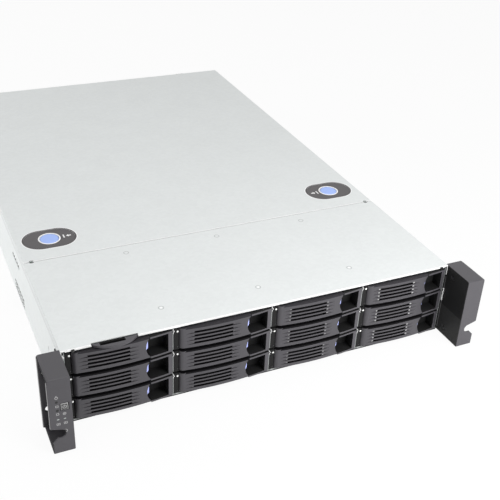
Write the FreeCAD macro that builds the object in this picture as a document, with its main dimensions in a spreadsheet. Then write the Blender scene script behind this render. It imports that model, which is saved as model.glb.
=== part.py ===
import FreeCAD, Part
import math
import os
import Sketcher

# A 2U rack server: folded sheet-metal chassis, two-part top cover, two rack ears that stand ahead
# of the front, and twelve hot-swap drive trays behind bowed, louvred levers.
#
# Row frame: +X right as seen from the front, +Y to the rear, +Z up, millimetres. The origin is
# under the middle of the whole object, on the surface that it rests on.
# Bodies are drawn in the chassis frame, whose y = 0 is the front plane of the chassis, or in the
# frame of a drive bay: x = 0 at the wall on the bay's left, z = 0 at the middle of its row.

doc = FreeCAD.newDocument("rack_server")

# ---------------------------------------------------------------- driving sizes

SIZES = {
    # chassis and covers
    "chassis_wide": 438.0, "chassis_high": 87.5, "chassis_deep": 690.0,
    "sheet": 1.2, "lid_sheet": 1.0, "lid_gap": 0.2, "lid_flange": 12.0,
    "seam_at": 166.5, "seam_gap": 0.6, "seam_hole": 2.2, "seam_slit": 1.6, "seam_hole_in": 8.5,
    "lip_wide": 9.0, "lip_gap": 1.0, "hem_deep": 8.0, "hem_in": 2.0, "tag_room": 1.0,
    "vent_front": 214.0, "vent_level": 54.0, "vent_half": 2.5, "vent_step": 8.0, "vent_count": 5.0,
    "slot_front": 201.0, "slot_low": 3.4, "slot_long": 6.4, "slot_high": 2.6, "slot_step": 9.0,
    "slot_rise": 5.2, "slot_across": 6.0, "slot_rows": 3.0,
    # rack ears
    "ear_wide": 22.3, "ear_reach": 38.0, "ear_wall": 2.0, "ear_back": 4.0, "ear_plate": 3.0,
    "ear_tab": 26.0, "tab_low": 5.0, "tab_under": 2.0, "ear_round": 3.0,
    "slot_in": 8.75, "rack_pitch": 44.45, "rack_low": 22.2, "rack_slot_high": 7.0,
    "rack_slot_long": 10.0, "hook_top": 18.6, "hook_tip": 7.0, "hook_out": 1.6, "hook_drop": 5.4,
    "notch_round": 4.8, "notch_top": 31.4, "notch_in": 11.5, "notch_slope_in": 1.6,
    "notch_slope_down": 3.6, "dimple_round": 2.6, "dimple_deep": 0.8, "dimple_back": 11.5,
    "dimple_low": 9.5, "dimple_top": 10.2,
    # drive bays
    "cage_sheet": 1.0, "cage_gap": 0.1, "plane_gap": 5.0, "cage_under": 0.1, "ledge_wide": 2.2,
    "slide_gap": 0.1, "cage_notch": 3.0, "wall_tongue": 0.2, "cage_step": 1.0, "mouth_back": 4.0,
    "plane_in": 2.0, "plane_slot_in": 12.0, "plane_slot_low": 5.0, "plane_slot_high": 6.0,
    "plane_touch": 1.0,
    # tray
    "tray_gap": 0.6, "tray_play": 2.6, "tray_front": 12.0, "tray_wall": 2.0, "tray_bow": 4.2,
    "tray_edge": 1.0, "frame_bar": 2.0, "frame_side": 4.2, "stile_wide": 5.0, "stile_set": 0.6,
    "rail_wall": 1.5, "rail_high": 20.0, "tray_floor": 1.0, "drive_gap": 0.6,
    "drive_long": 147.0, "drive_set": 2.0, "plug_wide": 42.0, "plug_high": 6.0, "plug_low": -9.0,
    "plug_gap": 0.6, "plug_deep": 4.0, "window_in": 10.0, "window_wide": 34.0, "window_step": 40.0,
    "window_low": 5.5, "window_top": 7.0, "floor_in": 14.0, "floor_front": 12.0, "floor_long": 56.0,
    "floor_step": 68.0, "lid_step": 1.6, "lid_in": 4.0, "lid_front": 6.0, "lid_back": 14.0,
    # lever
    "lever_left": 6.6, "lever_right": 83.0, "lever_low_gap": 2.6, "lever_top_gap": 1.4,
    "lever_skin": 1.6, "lever_lip": 1.4, "lever_deep": 7.0, "lever_turn": 5.0, "lever_bevel": 0.6,
    "bevel_deep": 1.4, "lever_pin": 1.2, "pin_in": 6.0, "pin_back": 3.0, "pin_gap": 0.06,
    "lug_round": 1.9, "lug_flat": 0.8, "lug_high": 1.8, "lug_gap": 0.4, "lug_wide": 5.0,
    "lug_heel": 1.7, "bite_round": 18.0, "bite_deep": 4.0, "bite_lift": 1.0, "louvre_left": 21.7,
    "louvre_right": 63.0, "louvre_ramp": 9.2, "louvre_high": 2.5, "louvre_pitch": 4.4,
    "louvre_count": 4.0, "louvre_lift": 0.2, "louvre_scoop": 0.9, "louvre_through": 1.0,
    "louvre_start": 0.02, "lever_gap": 0.4,
    # latch
    "latch_left": 72.5, "latch_right": 81.8, "latch_low": 3.0, "latch_top": 9.0, "latch_gap": 0.6,
    "latch_round": 2.0, "latch_set": 1.8, "latch_bulge": 1.0,
    # pull tag
    "tag_left": 27.5, "tag_wide": 44.5, "tag_thick": 1.3, "tag_out": 8.5, "tag_long": 58.0,
    "tag_gap": 0.3, "tag_side_gap": 0.8, "tag_notch": 2.4, "tag_grip": 1.1, "grip_back": 1.4,
    "thumb_left": 2.8, "thumb_out": 2.0, "thumb_long": 24.0, "thumb_high": 3.0, "thumb_deep": 1.4,
    # cover latches
    "button_in": 38.0, "button_back": 43.5, "button_wide": 21.0, "button_gap": 0.4,
    "oval_long": 58.0, "oval_wide": 40.0, "oval_deep": 0.5, "collar_wall": 1.6, "collar_deep": 2.4,
    "button_high": 3.2, "button_bevel": 0.6,
    # ear button
    "power_out": 7.2, "power_z": 54.6, "power_wide": 7.0, "power_tall": 7.8, "power_gap": 0.25,
    "power_deep": 5.0, "power_stop": 2.0, "power_rim": 1.2, "power_bevel": 0.5,
    # fans
    "fan_over": 5.1, "fan_deep": 38.0, "fan_behind": 55.6, "fan_rim": 1.6, "fan_hub": 18.0,
    "blade_gap": 2.4, "fan_aside": 8.6, "fan_wall": 3.0, "fan_strut": 4.0, "fan_axle": 3.0,
    "fan_axle_gap": 0.06, "blade_thick": 1.8, "blade_lean": 9.5, "blade_root": 14.0, "fan_gap": 3.0,
    "fan_room": 5.0, "axle_long": 20.0, "axle_room": 1.0, "mount_half": 14.0, "shell_in": 1.0,
    "wall_clear": 1.0, "mouth_in": 1.0,
    # boards
    "board": 1.6, "board_rise": 7.0, "backplane_thick": 2.4, "board_back": 2.0,
    "board_aside": 10.6, "board_beside": 12.5, "board_behind": 36.0,
    "stand_half": 2.6, "stand_in": 6.0, "stand_back": 27.7,
    "cpu_left_in": 81.0, "cpu_right_in": 83.0, "cpu_back": 120.0,
    "cpu_half_wide": 32.0, "cpu_half_long": 34.0, "cpu_high": 6.0,
    "sink_half_wide": 42.0, "sink_half_long": 50.0, "sink_base": 5.0, "sink_under": 14.0,
    "fin_thick": 1.2, "fin_pitch": 4.6, "fin_root": 0.5,
    "bank_left": 4.0, "bank_right": 4.0, "bank_pitch": 9.5,
    "memory_front": 53.0, "memory_long": 133.0, "memory_high": 27.0, "memory_corner": 3.0,
    "memory_thick": 1.4, "memory_slot_wide": 6.0, "memory_slot_high": 7.0, "memory_slot_more": 4.0,
    "chip_in": 46.0, "chip_front": 260.0, "chip_wide": 40.0, "chip_high": 12.0,
    # rear sockets, from left to right: two, two and one
    "socket_deep": 24.0, "socket_out": 0.6, "socket_wall": 1.6, "mouth_deep": 12.0,
    "lan_in": 26.6, "lan_step": 22.0, "lan_wide": 16.4, "lan_high": 13.6,
    "bus_on": 22.0, "bus_step": 24.0, "bus_wide": 14.4, "bus_high": 15.8,
    "screen_on": 25.0, "screen_wide": 24.0, "screen_high": 11.0, "socket_gap": 0.4,
    # expansion cards
    "riser_in": 84.0, "riser_front": 260.0, "riser_clear": 28.4, "riser_half": 4.0,
    "riser_high": 9.0, "riser_under": 6.0, "card_on": 7.0, "card_inset": 8.0, "card_low": 26.0,
    "card_over": 5.3, "card_front": 240.0, "card_stagger": 20.0, "card_back": 0.4,
    "bracket_thick": 1.0, "bracket_down": 4.0, "bracket_up": 13.0, "bracket_in": 2.0,
    "cooler_in": 30.0, "cooler_wide": 40.0, "cooler_front": 290.0, "cooler_top": 9.0,
    "card_slot_left": 4.0, "card_slot_right": 6.0, "card_slot_down": 1.5, "card_slot_up": 10.5,
    # rear air slots
    "air_in": 12.6, "air_low": 46.0, "air_wide": 13.0, "air_high": 4.6, "air_step": 17.0,
    "air_over": 7.5, "air_across": 7.0, "air_rows": 4.0,
    # power supplies
    "psu_wide": 73.5, "psu_over": 3.8, "psu_deep": 185.0, "psu_gap": 0.8, "psu_shelf": 1.0,
    "psu_aside": 2.6, "handle_reach": 26.0, "handle_bar": 4.0, "handle_wide": 12.0,
    "handle_low": 3.0, "handle_corner": 4.0, "handle_inner": 2.0,
    "tongue_out": 8.0, "tongue_in": 14.0, "tongue_thick": 1.6,
    "inlet_wide": 27.4, "inlet_high": 19.8, "inlet_deep": 16.0, "inlet_in": 5.0,
    "pin_high": 3.0, "pin_thick": 2.0, "pin_apart": 7.0, "pin_down": 1.9, "pin_up": 2.9,
    "pin_set": 3.0, "grille_at": 20.0, "grille_left": 15.0, "grille_bar": 5.6, "grille_step": 8.0,
    "grille_in": 4.0, "grille_deep": 3.0, "grille_count": 4.0,
    # screws
    "screw_head": 3.6, "screw_high": 1.2, "screw_in": 11.0, "screw_under": 11.5,
    "side_hole": 2.1, "rail_first": 67.0, "rail_span": 520.0,
}

sheet_book = doc.addObject("Spreadsheet::Sheet", "Sizes")
for line, (alias, length) in enumerate(SIZES.items(), start=1):
    sheet_book.set("A%d" % line, alias)
    sheet_book.set("B%d" % line, str(length))
    sheet_book.setAlias("B%d" % line, alias)
doc.recompute()


class Term:
    """A length that knows both its number and the spreadsheet formula behind it."""

    def __init__(self, text, number):
        self.text = text
        self.number = number

    def _join(self, sign, other, number):
        return Term("(%s %s %s)" % (self.text, sign, other.text), number)

    def __add__(self, other):
        other = term(other)
        return self._join("+", other, self.number + other.number)

    def __sub__(self, other):
        other = term(other)
        return self._join("-", other, self.number - other.number)

    def __mul__(self, other):
        other = term(other)
        return self._join("*", other, self.number * other.number)

    def __truediv__(self, other):
        other = term(other)
        return self._join("/", other, self.number / other.number)

    def __radd__(self, other):
        return term(other) + self

    def __rsub__(self, other):
        return term(other) - self

    def __rmul__(self, other):
        return term(other) * self

    def __neg__(self):
        return term(0.0) - self

    def root(self):
        return Term("sqrt(%s)" % self.text, math.sqrt(self.number))


def term(value):
    return value if isinstance(value, Term) else Term(repr(float(value)), float(value))


def size(alias):
    return Term("Sizes.%s" % alias, float(sheet_book.get(alias)))


def bind(thing, prop, value):
    thing.setExpression(prop, term(value).text)


# ---------------------------------------------------------------- drawing tools

PLANE_OF = {"x": "YZ_Plane", "y": "XZ_Plane", "z": "XY_Plane"}
HALF = 0.5
SLIVER = 0.5
TOUCH = 0.01


class Arc:
    """A corner of an outline that is reached by an arc; side +1 bulges to the right of travel."""

    def __init__(self, x, y, radius, side):
        self.point = (x, y)
        self.radius = radius
        self.side = side


class Disc:
    """A round loop."""

    def __init__(self, x, y, radius):
        self.centre = (x, y)
        self.radius = radius


def box(x_low, x_high, y_low, y_high):
    """The outline of a rectangle."""
    return [(x_low, y_low), (x_high, y_low), (x_high, y_high), (x_low, y_high)]


def stadium(x, y, long, high):
    """The outline of a level slot with round ends."""
    reach = (long - high) / 2
    radius = high / 2
    return [Arc(x - reach, y - radius, radius, 1), (x + reach, y - radius),
            Arc(x + reach + radius, y, radius, 1), Arc(x + reach, y + radius, radius, 1),
            (x - reach, y + radius), Arc(x - reach - radius, y, radius, 1)]


def octagon(x, y, half):
    """The outline of a regular octagon, by its half width across the flats."""
    cut = half * (math.sqrt(2) - 1)
    return [(x - cut, y - half), (x + cut, y - half), (x + half, y - cut), (x + half, y + cut),
            (x + cut, y + half), (x - cut, y + half), (x - half, y + cut), (x - half, y - cut)]


def pin_down(sketch, geometry, end, point):
    """Fix one end of a sketch element at a point whose lengths come from the sheet."""
    for kind, value in zip(("DistanceX", "DistanceY"), point):
        value = term(value)
        number = sketch.addConstraint(Sketcher.Constraint(kind, -1, 1, geometry, end, value.number))
        if "Sizes." in value.text:
            sketch.setExpression("Constraints[%d]" % number, value.text)


def set_radius(sketch, geometry, radius):
    radius = term(radius)
    number = sketch.addConstraint(Sketcher.Constraint("Radius", geometry, radius.number))
    if "Sizes." in radius.text:
        sketch.setExpression("Constraints[%d]" % number, radius.text)


def arc_geometry(start, end, radius, side):
    """The arc from start to end, and whether it runs with the sketch's own turning sense."""
    chord = end - start
    middle = (start + end) * HALF
    rise = math.sqrt(max(radius ** 2 - (chord.Length / 2) ** 2, 0.0))
    left = FreeCAD.Vector(-chord.y, chord.x, 0.0).normalize()
    centre = middle + left * rise * side
    first = math.atan2(start.y - centre.y, start.x - centre.x)
    last = math.atan2(end.y - centre.y, end.x - centre.x)
    circle = Part.Circle(centre, FreeCAD.Vector(0, 0, 1), radius)
    if side > 0:
        return Part.ArcOfCircle(circle, first, last), True
    return Part.ArcOfCircle(circle, last, first), False


def add_outline(sketch, outline):
    """Draw a closed outline of straight runs and arcs, each corner fixed by the sheet."""
    corners = [item.point if isinstance(item, Arc) else item for item in outline]
    spots = [FreeCAD.Vector(term(x).number, term(y).number, 0) for x, y in corners]
    ends = []
    for index, item in enumerate(outline):
        start, end = spots[index - 1], spots[index]
        if isinstance(item, Arc):
            shape, forward = arc_geometry(start, end, term(item.radius).number, item.side)
        else:
            shape, forward = Part.LineSegment(start, end), True
        number = sketch.addGeometry(shape, False)
        ends.append((number, 1, 2) if forward else (number, 2, 1))
        if isinstance(item, Arc):
            set_radius(sketch, number, item.radius)
    for index, (number, first, last) in enumerate(ends):
        after, begin, _ = ends[(index + 1) % len(ends)]
        sketch.addConstraint(Sketcher.Constraint("Coincident", number, last, after, begin))
        pin_down(sketch, number, last, corners[index])


def draw(body, name, axis, level, loops):
    """A sketch across the given axis of the body, at the given level along it."""
    sketch = body.newObject("Sketcher::SketchObject", name + "_sketch")
    plane = [item for item in body.Origin.OriginFeatures if item.Role == PLANE_OF[axis]][0]
    sketch.AttachmentSupport = [(plane, "")]
    sketch.MapMode = "FlatFace"
    bind(sketch, "AttachmentOffset.Base.z", -term(level) if axis == "y" else level)
    for loop in loops:
        if isinstance(loop, Disc):
            spot = FreeCAD.Vector(term(loop.centre[0]).number, term(loop.centre[1]).number, 0)
            circle = Part.Circle(spot, FreeCAD.Vector(0, 0, 1), term(loop.radius).number)
            number = sketch.addGeometry(circle, False)
            pin_down(sketch, number, 3, loop.centre)
            set_radius(sketch, number, loop.radius)
        else:
            add_outline(sketch, loop)
    doc.recompute()
    return sketch


def pad(body, name, axis, low, high, loops):
    """Material between two levels of an axis."""
    start = high if axis == "y" else low
    feature = body.newObject("PartDesign::Pad", name)
    feature.Profile = draw(body, name, axis, start, loops)
    bind(feature, "Length", term(high) - low)
    doc.recompute()
    return feature


def pocket(body, name, axis, low, high, loops):
    """A cut between two levels of an axis; it has to take material away."""
    before = body.Shape.Volume
    start = low if axis == "y" else high
    feature = body.newObject("PartDesign::Pocket", name)
    feature.Profile = draw(body, name, axis, start, loops)
    bind(feature, "Length", term(high) - low)
    doc.recompute()
    if body.Shape.Volume >= before:
        raise ValueError("%s of %s cuts nothing" % (name, body.Label))
    return feature


def round_edges(body, name, radius, chosen):
    """Fillet the edges of the body's tip that the given test picks."""
    base = body.Tip
    names = ["Edge%d" % number for number, edge in enumerate(base.Shape.Edges, 1) if chosen(edge)]
    feature = body.newObject("PartDesign::Fillet", name)
    feature.Base = (base, names)
    bind(feature, "Radius", radius)
    doc.recompute()
    return feature


def bevel_edges(body, name, first, second, chosen):
    """Chamfer, with two distances, the edges of the body's tip that the given test picks."""
    base = body.Tip
    names = ["Edge%d" % number for number, edge in enumerate(base.Shape.Edges, 1) if chosen(edge)]
    feature = body.newObject("PartDesign::Chamfer", name)
    feature.Base = (base, names)
    feature.ChamferType = "Two distances"
    bind(feature, "Size", first)
    bind(feature, "Size2", second)
    doc.recompute()
    return feature


def runs_along(edge, axis):
    """Whether an edge is straight and lies along X (0), Y (1) or Z (2)."""
    span = edge.Vertexes[-1].Point - edge.Vertexes[0].Point
    across = [abs(span[other]) for other in range(3) if other != axis]
    return edge.Curve.TypeId == "Part::GeomLine" and max(across) < TOUCH < abs(span[axis])


def near(edge, **where):
    """Whether the middle of an edge lies on the given coordinates."""
    middle = edge.CenterOfMass
    return all(abs(getattr(middle, key) - term(value).number) < SLIVER for key, value in where.items())


def new_body(label, x=0.0, y=0.0, z=0.0):
    """An empty body whose local origin is at the given place of the row frame."""
    body = doc.addObject("PartDesign::Body", label)
    for key, value in zip("xyz", (x, y, z)):
        bind(body, "Placement.Base.%s" % key, value)
    return body


def gather(label, members):
    """One node of several separate solids."""
    group = doc.addObject("Part::Compound", label)
    group.Links = members
    return group


def copy_of(label, source, x=0.0, y=0.0, z=0.0):
    """The same piece again, moved on by the given distances."""
    twin = doc.addObject("Part::Compound", label)
    twin.Links = [source]
    for key, value in zip("xyz", (x, y, z)):
        bind(twin, "Placement.Base.%s" % key, value)
    return twin


def origin_axis(body, axis):
    """One of the body's own axes, by its letter."""
    return [item for item in body.Origin.OriginFeatures if item.Role == axis.upper() + "_Axis"][0]


def array(body, name, feature, *runs):
    """Repeat a feature along one or two axes; each run is an axis, a pitch and a count."""
    pattern = body.newObject("PartDesign::LinearPattern", name)
    pattern.Originals = [feature]
    for suffix, (axis, pitch, count) in zip(("", "2"), runs):
        setattr(pattern, "Direction" + suffix, (origin_axis(body, axis), [""]))
        setattr(pattern, "Mode" + suffix, "Spacing")
        bind(pattern, "Offset" + suffix, pitch)
        bind(pattern, "Occurrences" + suffix, count)
    body.Tip = pattern
    doc.recompute()
    return pattern


# ---------------------------------------------------------------- shared places

half_wide = size("chassis_wide") / 2
top = size("chassis_high")
deep = size("chassis_deep")
sheet = size("sheet")
front_y = (size("ear_reach") - deep - size("handle_reach")) / 2
lid_under = top - size("lid_sheet")
wall_top = lid_under - size("lid_gap")
wall_out = half_wide - size("lid_sheet") - size("lid_gap")
wall_in = wall_out - sheet

cage_out = wall_in - size("cage_gap")
cage_top = wall_top - size("cage_under")
bay_wide = (cage_out * 2 - size("cage_sheet")) / 4
bay_pitch = (cage_top - size("cage_sheet") - sheet) / 3
COLUMNS = 4
ROWS = 3

seam = size("seam_at")
tray_back = size("tray_front") + size("tray_wall")
drive_end = tray_back + size("drive_set") + size("drive_long")
cage_deep = drive_end + size("plane_gap")
plane_back = cage_deep + size("backplane_thick")


def bay_x(column):
    return bay_wide * (column - COLUMNS / 2)


def row_z(row):
    return sheet + bay_pitch * (row + HALF)


def mirrored(side, points):
    """The same points on the left (-1) or right (+1); arcs keep bulging the same way."""
    flipped = []
    for item in points:
        if isinstance(item, Arc):
            flipped.append(Arc(item.point[0] * side, item.point[1], item.radius, item.side * side))
        elif isinstance(item, Disc):
            flipped.append(Disc(item.centre[0] * side, item.centre[1], item.radius))
        else:
            flipped.append((item[0] * side, item[1]))
    return flipped


# ---------------------------------------------------------------- chassis

def make_chassis():
    """The folded tray: floor, side walls, and the lips that the sliding cover rests on."""
    body = new_body("chassis_base", y=front_y)
    lip_in = wall_out - size("lip_wide")
    lip_from = plane_back + size("lip_gap")
    pad(body, "folded_tray", "y", 0, deep, [[
        (-wall_out, 0), (wall_out, 0), (wall_out, wall_top), (wall_in, wall_top),
        (wall_in, sheet), (-wall_in, sheet), (-wall_in, wall_top), (-wall_out, wall_top)]])
    for side, name in ((-1, "left"), (1, "right")):
        pad(body, name + "_lip", "y", lip_from, deep - sheet, [mirrored(side, box(
            lip_in, wall_in + SLIVER, wall_top - sheet, wall_top))])
    rails = [Disc(size("rail_first") + size("rail_span") * end, top / 2,
                  size("side_hole")) for end in (0, 1)]
    outside = wall_out + SLIVER
    pocket(body, "side_holes", "x", -outside, outside, rails)
    vent = pocket(body, "high_vent", "x", -outside, outside,
                  [octagon(size("vent_front"), size("vent_level"), size("vent_half"))])
    array(body, "high_vents", vent, ("y", size("vent_step"), size("vent_count")))
    slot_y = size("slot_front")
    slot_z = size("slot_low")
    slot = pocket(body, "low_vent", "x", -outside, outside, [box(
        slot_y, slot_y + size("slot_long"), slot_z, slot_z + size("slot_high"))])
    array(body, "low_vents", slot, ("y", size("slot_step"), size("slot_across")),
          ("z", size("slot_rise"), size("slot_rows")))
    return body


def make_cover(label, front, back, outer):
    """A flat lid with a folded flange on each side."""
    body = new_body(label, y=front_y)
    flange = top - size("lid_flange")
    inside = outer - size("lid_sheet")
    pad(body, "folded_lid", "y", front, back, [[
        (-outer, flange), (-inside, flange), (-inside, lid_under), (inside, lid_under),
        (inside, flange), (outer, flange), (outer, top), (-outer, top)]])
    return body


def cut_seam(body):
    """The finger holes at the two ends of the seam, and the wider slit that runs out from each."""
    at = half_wide - size("seam_hole_in")
    slit = size("seam_slit") / 2
    pocket(body, "seam_holes", "z", lid_under - SLIVER, top + SLIVER,
           [Disc(at * side, seam, size("seam_hole")) for side in (-1, 1)])
    pocket(body, "seam_slits", "z", lid_under - SLIVER, top + SLIVER,
           [mirrored(side, box(at, half_wide + SLIVER, seam - slit, seam + slit))
            for side in (-1, 1)])


tag_left = bay_x(0) + size("tag_left")
tag_right = tag_left + size("tag_wide")
tag_top = lid_under - size("tag_gap")
tag_low = tag_top - size("tag_thick")


def make_front_cover():
    """The fixed front lid, with a folded front edge and a notch over the pull-out tag."""
    body = make_cover("front_cover", 0.0, seam - size("seam_gap") / 2, half_wide)
    hem = size("hem_deep")
    clear = size("tag_side_gap")
    hem_out = wall_in - size("hem_in")
    hem_low = lid_under - size("lid_sheet")
    pad(body, "front_hem", "y", 0, hem, [box(-hem_out, hem_out, hem_low, lid_under + TOUCH)])
    pocket(body, "tag_notch", "z", hem_low - SLIVER, top + SLIVER, [box(
        tag_left - clear, tag_right + clear, -SLIVER, size("tag_notch") + clear)])
    pocket(body, "tag_room", "z", hem_low - SLIVER, lid_under, [box(
        tag_left - clear, tag_right + clear, 0.0, hem + size("tag_room"))])
    cut_seam(body)
    return body


button_x = half_wide - size("button_in")
button_y = seam + size("button_back")


def make_rear_cover():
    """The sliding rear lid, with an oval recess and a guide collar for each latch button."""
    body = make_cover("rear_cover", seam + size("seam_gap") / 2, deep, half_wide)
    cut_seam(body)
    spots = [(button_x * side, button_y) for side in (-1, 1)]
    bore = size("button_wide") / 2 + size("button_gap")
    collar_low = lid_under - size("collar_deep")
    pad(body, "collars", "z", collar_low, lid_under,
        [Disc(x, y, bore + size("collar_wall")) for x, y in spots])
    pocket(body, "ovals", "z", top - size("oval_deep"), top + SLIVER,
           [stadium(x, y, size("oval_long"), size("oval_wide")) for x, y in spots])
    pocket(body, "button_bores", "z", collar_low - SLIVER, top + SLIVER,
           [Disc(x, y, bore) for x, y in spots])
    return body


def make_cover_button(label, side):
    """A round push button with a shallow bevel round its top."""
    body = new_body(label, button_x * side, front_y + button_y)
    pad(body, "plunger", "z", top - size("button_high"), top,
        [Disc(0.0, 0.0, size("button_wide") / 2)])
    bevel_edges(body, "rim", size("button_bevel"), size("button_bevel"),
                lambda edge: near(edge, z=top) and edge.Curve.TypeId == "Part::GeomCircle")
    return body


# ---------------------------------------------------------------- rack ears

ear_out = half_wide + size("ear_wide")
ear_front = -size("ear_reach")
wall = size("ear_wall")
ear_inner = half_wide + wall
plate_back = size("ear_back")
tab_top = top - size("lid_flange") - size("tab_under")
plate_front = plate_back - size("ear_plate")
power_x = half_wide + size("power_out")
power_gap = size("power_gap")
power_half = size("power_wide") / 2
power_tall = size("power_tall") / 2


def across(side, low, high):
    """Two levels of x, in rising order, on the left (-1) or right (+1)."""
    return (low, high) if side > 0 else (-term(high), -term(low))


def hook_outline():
    """What the hook notch removes from the foot of an ear, seen from the front."""
    beyond = ear_out + wall
    under = -wall
    lip = ear_out - size("hook_out")
    hook = size("hook_top")
    root = ear_out - size("notch_in")
    notch_top = size("notch_top")
    return [(beyond, under), (beyond, notch_top),
            (root + size("notch_slope_in"), notch_top - size("notch_slope_down")),
            Arc(root, hook, size("notch_round"), 1),
            (ear_out - size("hook_tip"), hook), (lip, hook - size("hook_drop")), (lip, under)]


def make_ear(label, side):
    """A rack ear: a box that is open on its outer side, with a hook at its foot."""
    body = new_body(label, y=front_y)
    low_x, high_x = across(side, half_wide, ear_out)
    pad(body, "block", "y", ear_front, plate_back, [box(low_x, high_x, 0, top)])
    round_edges(body, "top_corner", size("ear_round"),
                lambda edge: runs_along(edge, 1) and near(edge, x=ear_out * side, z=top))
    hollow = across(side, ear_inner, ear_out + SLIVER)
    pocket(body, "hollow", "x", hollow[0], hollow[1],
           [box(ear_front + wall, plate_front, wall, top - wall)])
    pad(body, "tab", "y", -SLIVER, size("ear_tab"),
        [mirrored(side, box(wall_out, wall_out + wall, size("tab_low"), tab_top))])
    pocket(body, "hook_notch", "y", ear_front - SLIVER, plate_front - TOUCH,
           [mirrored(side, hook_outline())])
    slot_x = (ear_out - size("slot_in")) * side
    holes = [stadium(slot_x, size("rack_low") + size("rack_pitch") * step,
                     size("rack_slot_long"), size("rack_slot_high")) for step in (0, 1)]
    pocket(body, "rack_slots", "y", plate_front - SLIVER, plate_back + SLIVER, holes)
    dimple = across(side, half_wide - SLIVER, half_wide + size("dimple_deep"))
    pocket(body, "screw_dimples", "x", dimple[0], dimple[1],
           [Disc(-size("dimple_back"), height, size("dimple_round"))
            for height in (size("dimple_low"), top - size("dimple_top"))])
    if side < 0:
        wide = power_half + power_gap
        tall = power_tall + power_gap
        x, z = -power_x, size("power_z")
        pocket(body, "power_hole", "y", ear_front - SLIVER, ear_front + wall + SLIVER,
               [box(x - wide, x + wide, z - tall, z + tall)])
    return body


def make_power_button():
    """The square power button of the left ear."""
    body = new_body("power_button", -power_x, front_y + ear_front, size("power_z"))
    pad(body, "cap", "y", 0, size("power_deep"),
        [box(-power_half, power_half, -power_tall, power_tall)])
    bevel_edges(body, "soft_face", size("power_bevel"), size("power_bevel"),
                lambda edge: near(edge, y=0.0))
    wide = power_half + size("power_rim")
    tall = power_tall + size("power_rim")
    pad(body, "stop", "y", wall + size("power_stop"), size("power_deep"),
        [box(-wide, wide, -tall, tall)])
    return body


def make_pull_tag():
    """The flat tag that pulls out under the lid's front edge, with a bowed, thicker grip."""
    body = new_body("pull_tag", y=front_y)
    reach = size("tag_out")
    half = size("tag_wide") / 2
    thumb_x = tag_left + half - size("thumb_left")
    bow = (half * half + reach * reach) / (reach * 2)
    grip_top = tag_top + size("tag_grip")
    pad(body, "plate", "z", tag_low, tag_top, [[
        (tag_right, size("tag_long")), (tag_left, size("tag_long")), (tag_left, 0.0),
        Arc(tag_right, 0.0, bow, 1)]])
    pad(body, "grip", "z", tag_top - SLIVER, grip_top, [[
        (tag_right, size("grip_back")), (tag_left, size("grip_back")), (tag_left, 0.0),
        Arc(tag_right, 0.0, bow, 1)]])
    pocket(body, "thumb_slot", "z", grip_top - size("thumb_deep"), grip_top,
           [stadium(thumb_x, -size("thumb_out"), size("thumb_long"), size("thumb_high"))])
    return body


# ---------------------------------------------------------------- drive cage and backplane

def ledged_wall(x, ledges_left, ledges_right):
    """The section of one cage wall, with a ledge under each row."""
    half = size("cage_sheet") / 2
    out = size("ledge_wide")
    points = [(x - half - (out if ledges_left else 0.0), sheet),
              (x + half + (out if ledges_right else 0.0), sheet)]
    high = size("tray_play") / 2 - size("slide_gap")
    levels = [sheet + bay_pitch * row for row in range(ROWS)]
    if ledges_right:
        for level in levels:
            points += [(x + half, level), (x + half + out, level),
                       (x + half + out, level + high), (x + half, level + high)]
        del points[2:4]
    high_end = cage_top - size("cage_sheet") + size("wall_tongue")
    points += [(x + half, high_end), (x - half, high_end)]
    if ledges_left:
        for level in reversed(levels):
            points += [(x - half, level + high), (x - half - out, level + high),
                       (x - half - out, level), (x - half, level)]
        del points[-2:]
    return points


def make_cage():
    """Five walls with ledges under one top sheet, so that the trays slide in between."""
    body = new_body("drive_cage", y=front_y)
    under = cage_top - size("cage_sheet")
    pad(body, "top_sheet", "y", size("hem_deep") + size("cage_step"), cage_deep,
        [box(-cage_out, cage_out, under, cage_top)])
    for column in range(COLUMNS + 1):
        pad(body, "wall_%d" % column, "y", 0, cage_deep,
            [ledged_wall(bay_x(column), column > 0, column < COLUMNS)])
    clear = size("tag_side_gap")
    pocket(body, "tag_mouth", "z", under - SLIVER, cage_top + SLIVER, [box(
        tag_left - clear, tag_right + clear, -SLIVER, size("tag_long") + size("mouth_back"))])
    notch = size("cage_notch")
    pocket(body, "front_notches", "x", -cage_out - SLIVER, cage_out + SLIVER, [
        [(-SLIVER, sheet + bay_pitch * row - notch), (notch, sheet + bay_pitch * row),
         (-SLIVER, sheet + bay_pitch * row + notch)] for row in range(1, ROWS)])
    return body


def make_backplane():
    """The board across the back of the cage, with a socket for each drive and air slots."""
    body = new_body("backplane", y=front_y)
    at, back = cage_deep, plane_back
    out = cage_out - size("plane_in")
    pad(body, "board", "y", at, back, [box(-out, out, sheet, cage_top)])
    slot_in = size("plane_slot_in")
    slot_low = row_z(0) + size("plane_slot_low")
    air = pocket(body, "air_slot", "y", at - SLIVER, back + SLIVER, [box(
        bay_x(0) + slot_in, bay_x(1) - slot_in, slot_low, slot_low + size("plane_slot_high"))])
    array(body, "air_slots", air, ("x", bay_wide, COLUMNS), ("z", bay_pitch, ROWS))
    half = size("plug_wide") / 2
    middle = bay_x(0) + bay_wide / 2
    low = row_z(0) + size("plug_low")
    near_end = drive_end - size("plug_deep") + size("plane_touch")
    plug = pad(body, "socket", "y", near_end, at,
               [box(middle - half, middle + half, low, low + size("plug_high"))])
    array(body, "sockets", plug, ("x", bay_wide, COLUMNS), ("z", bay_pitch, ROWS))
    return body


# ---------------------------------------------------------------- trays

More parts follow.
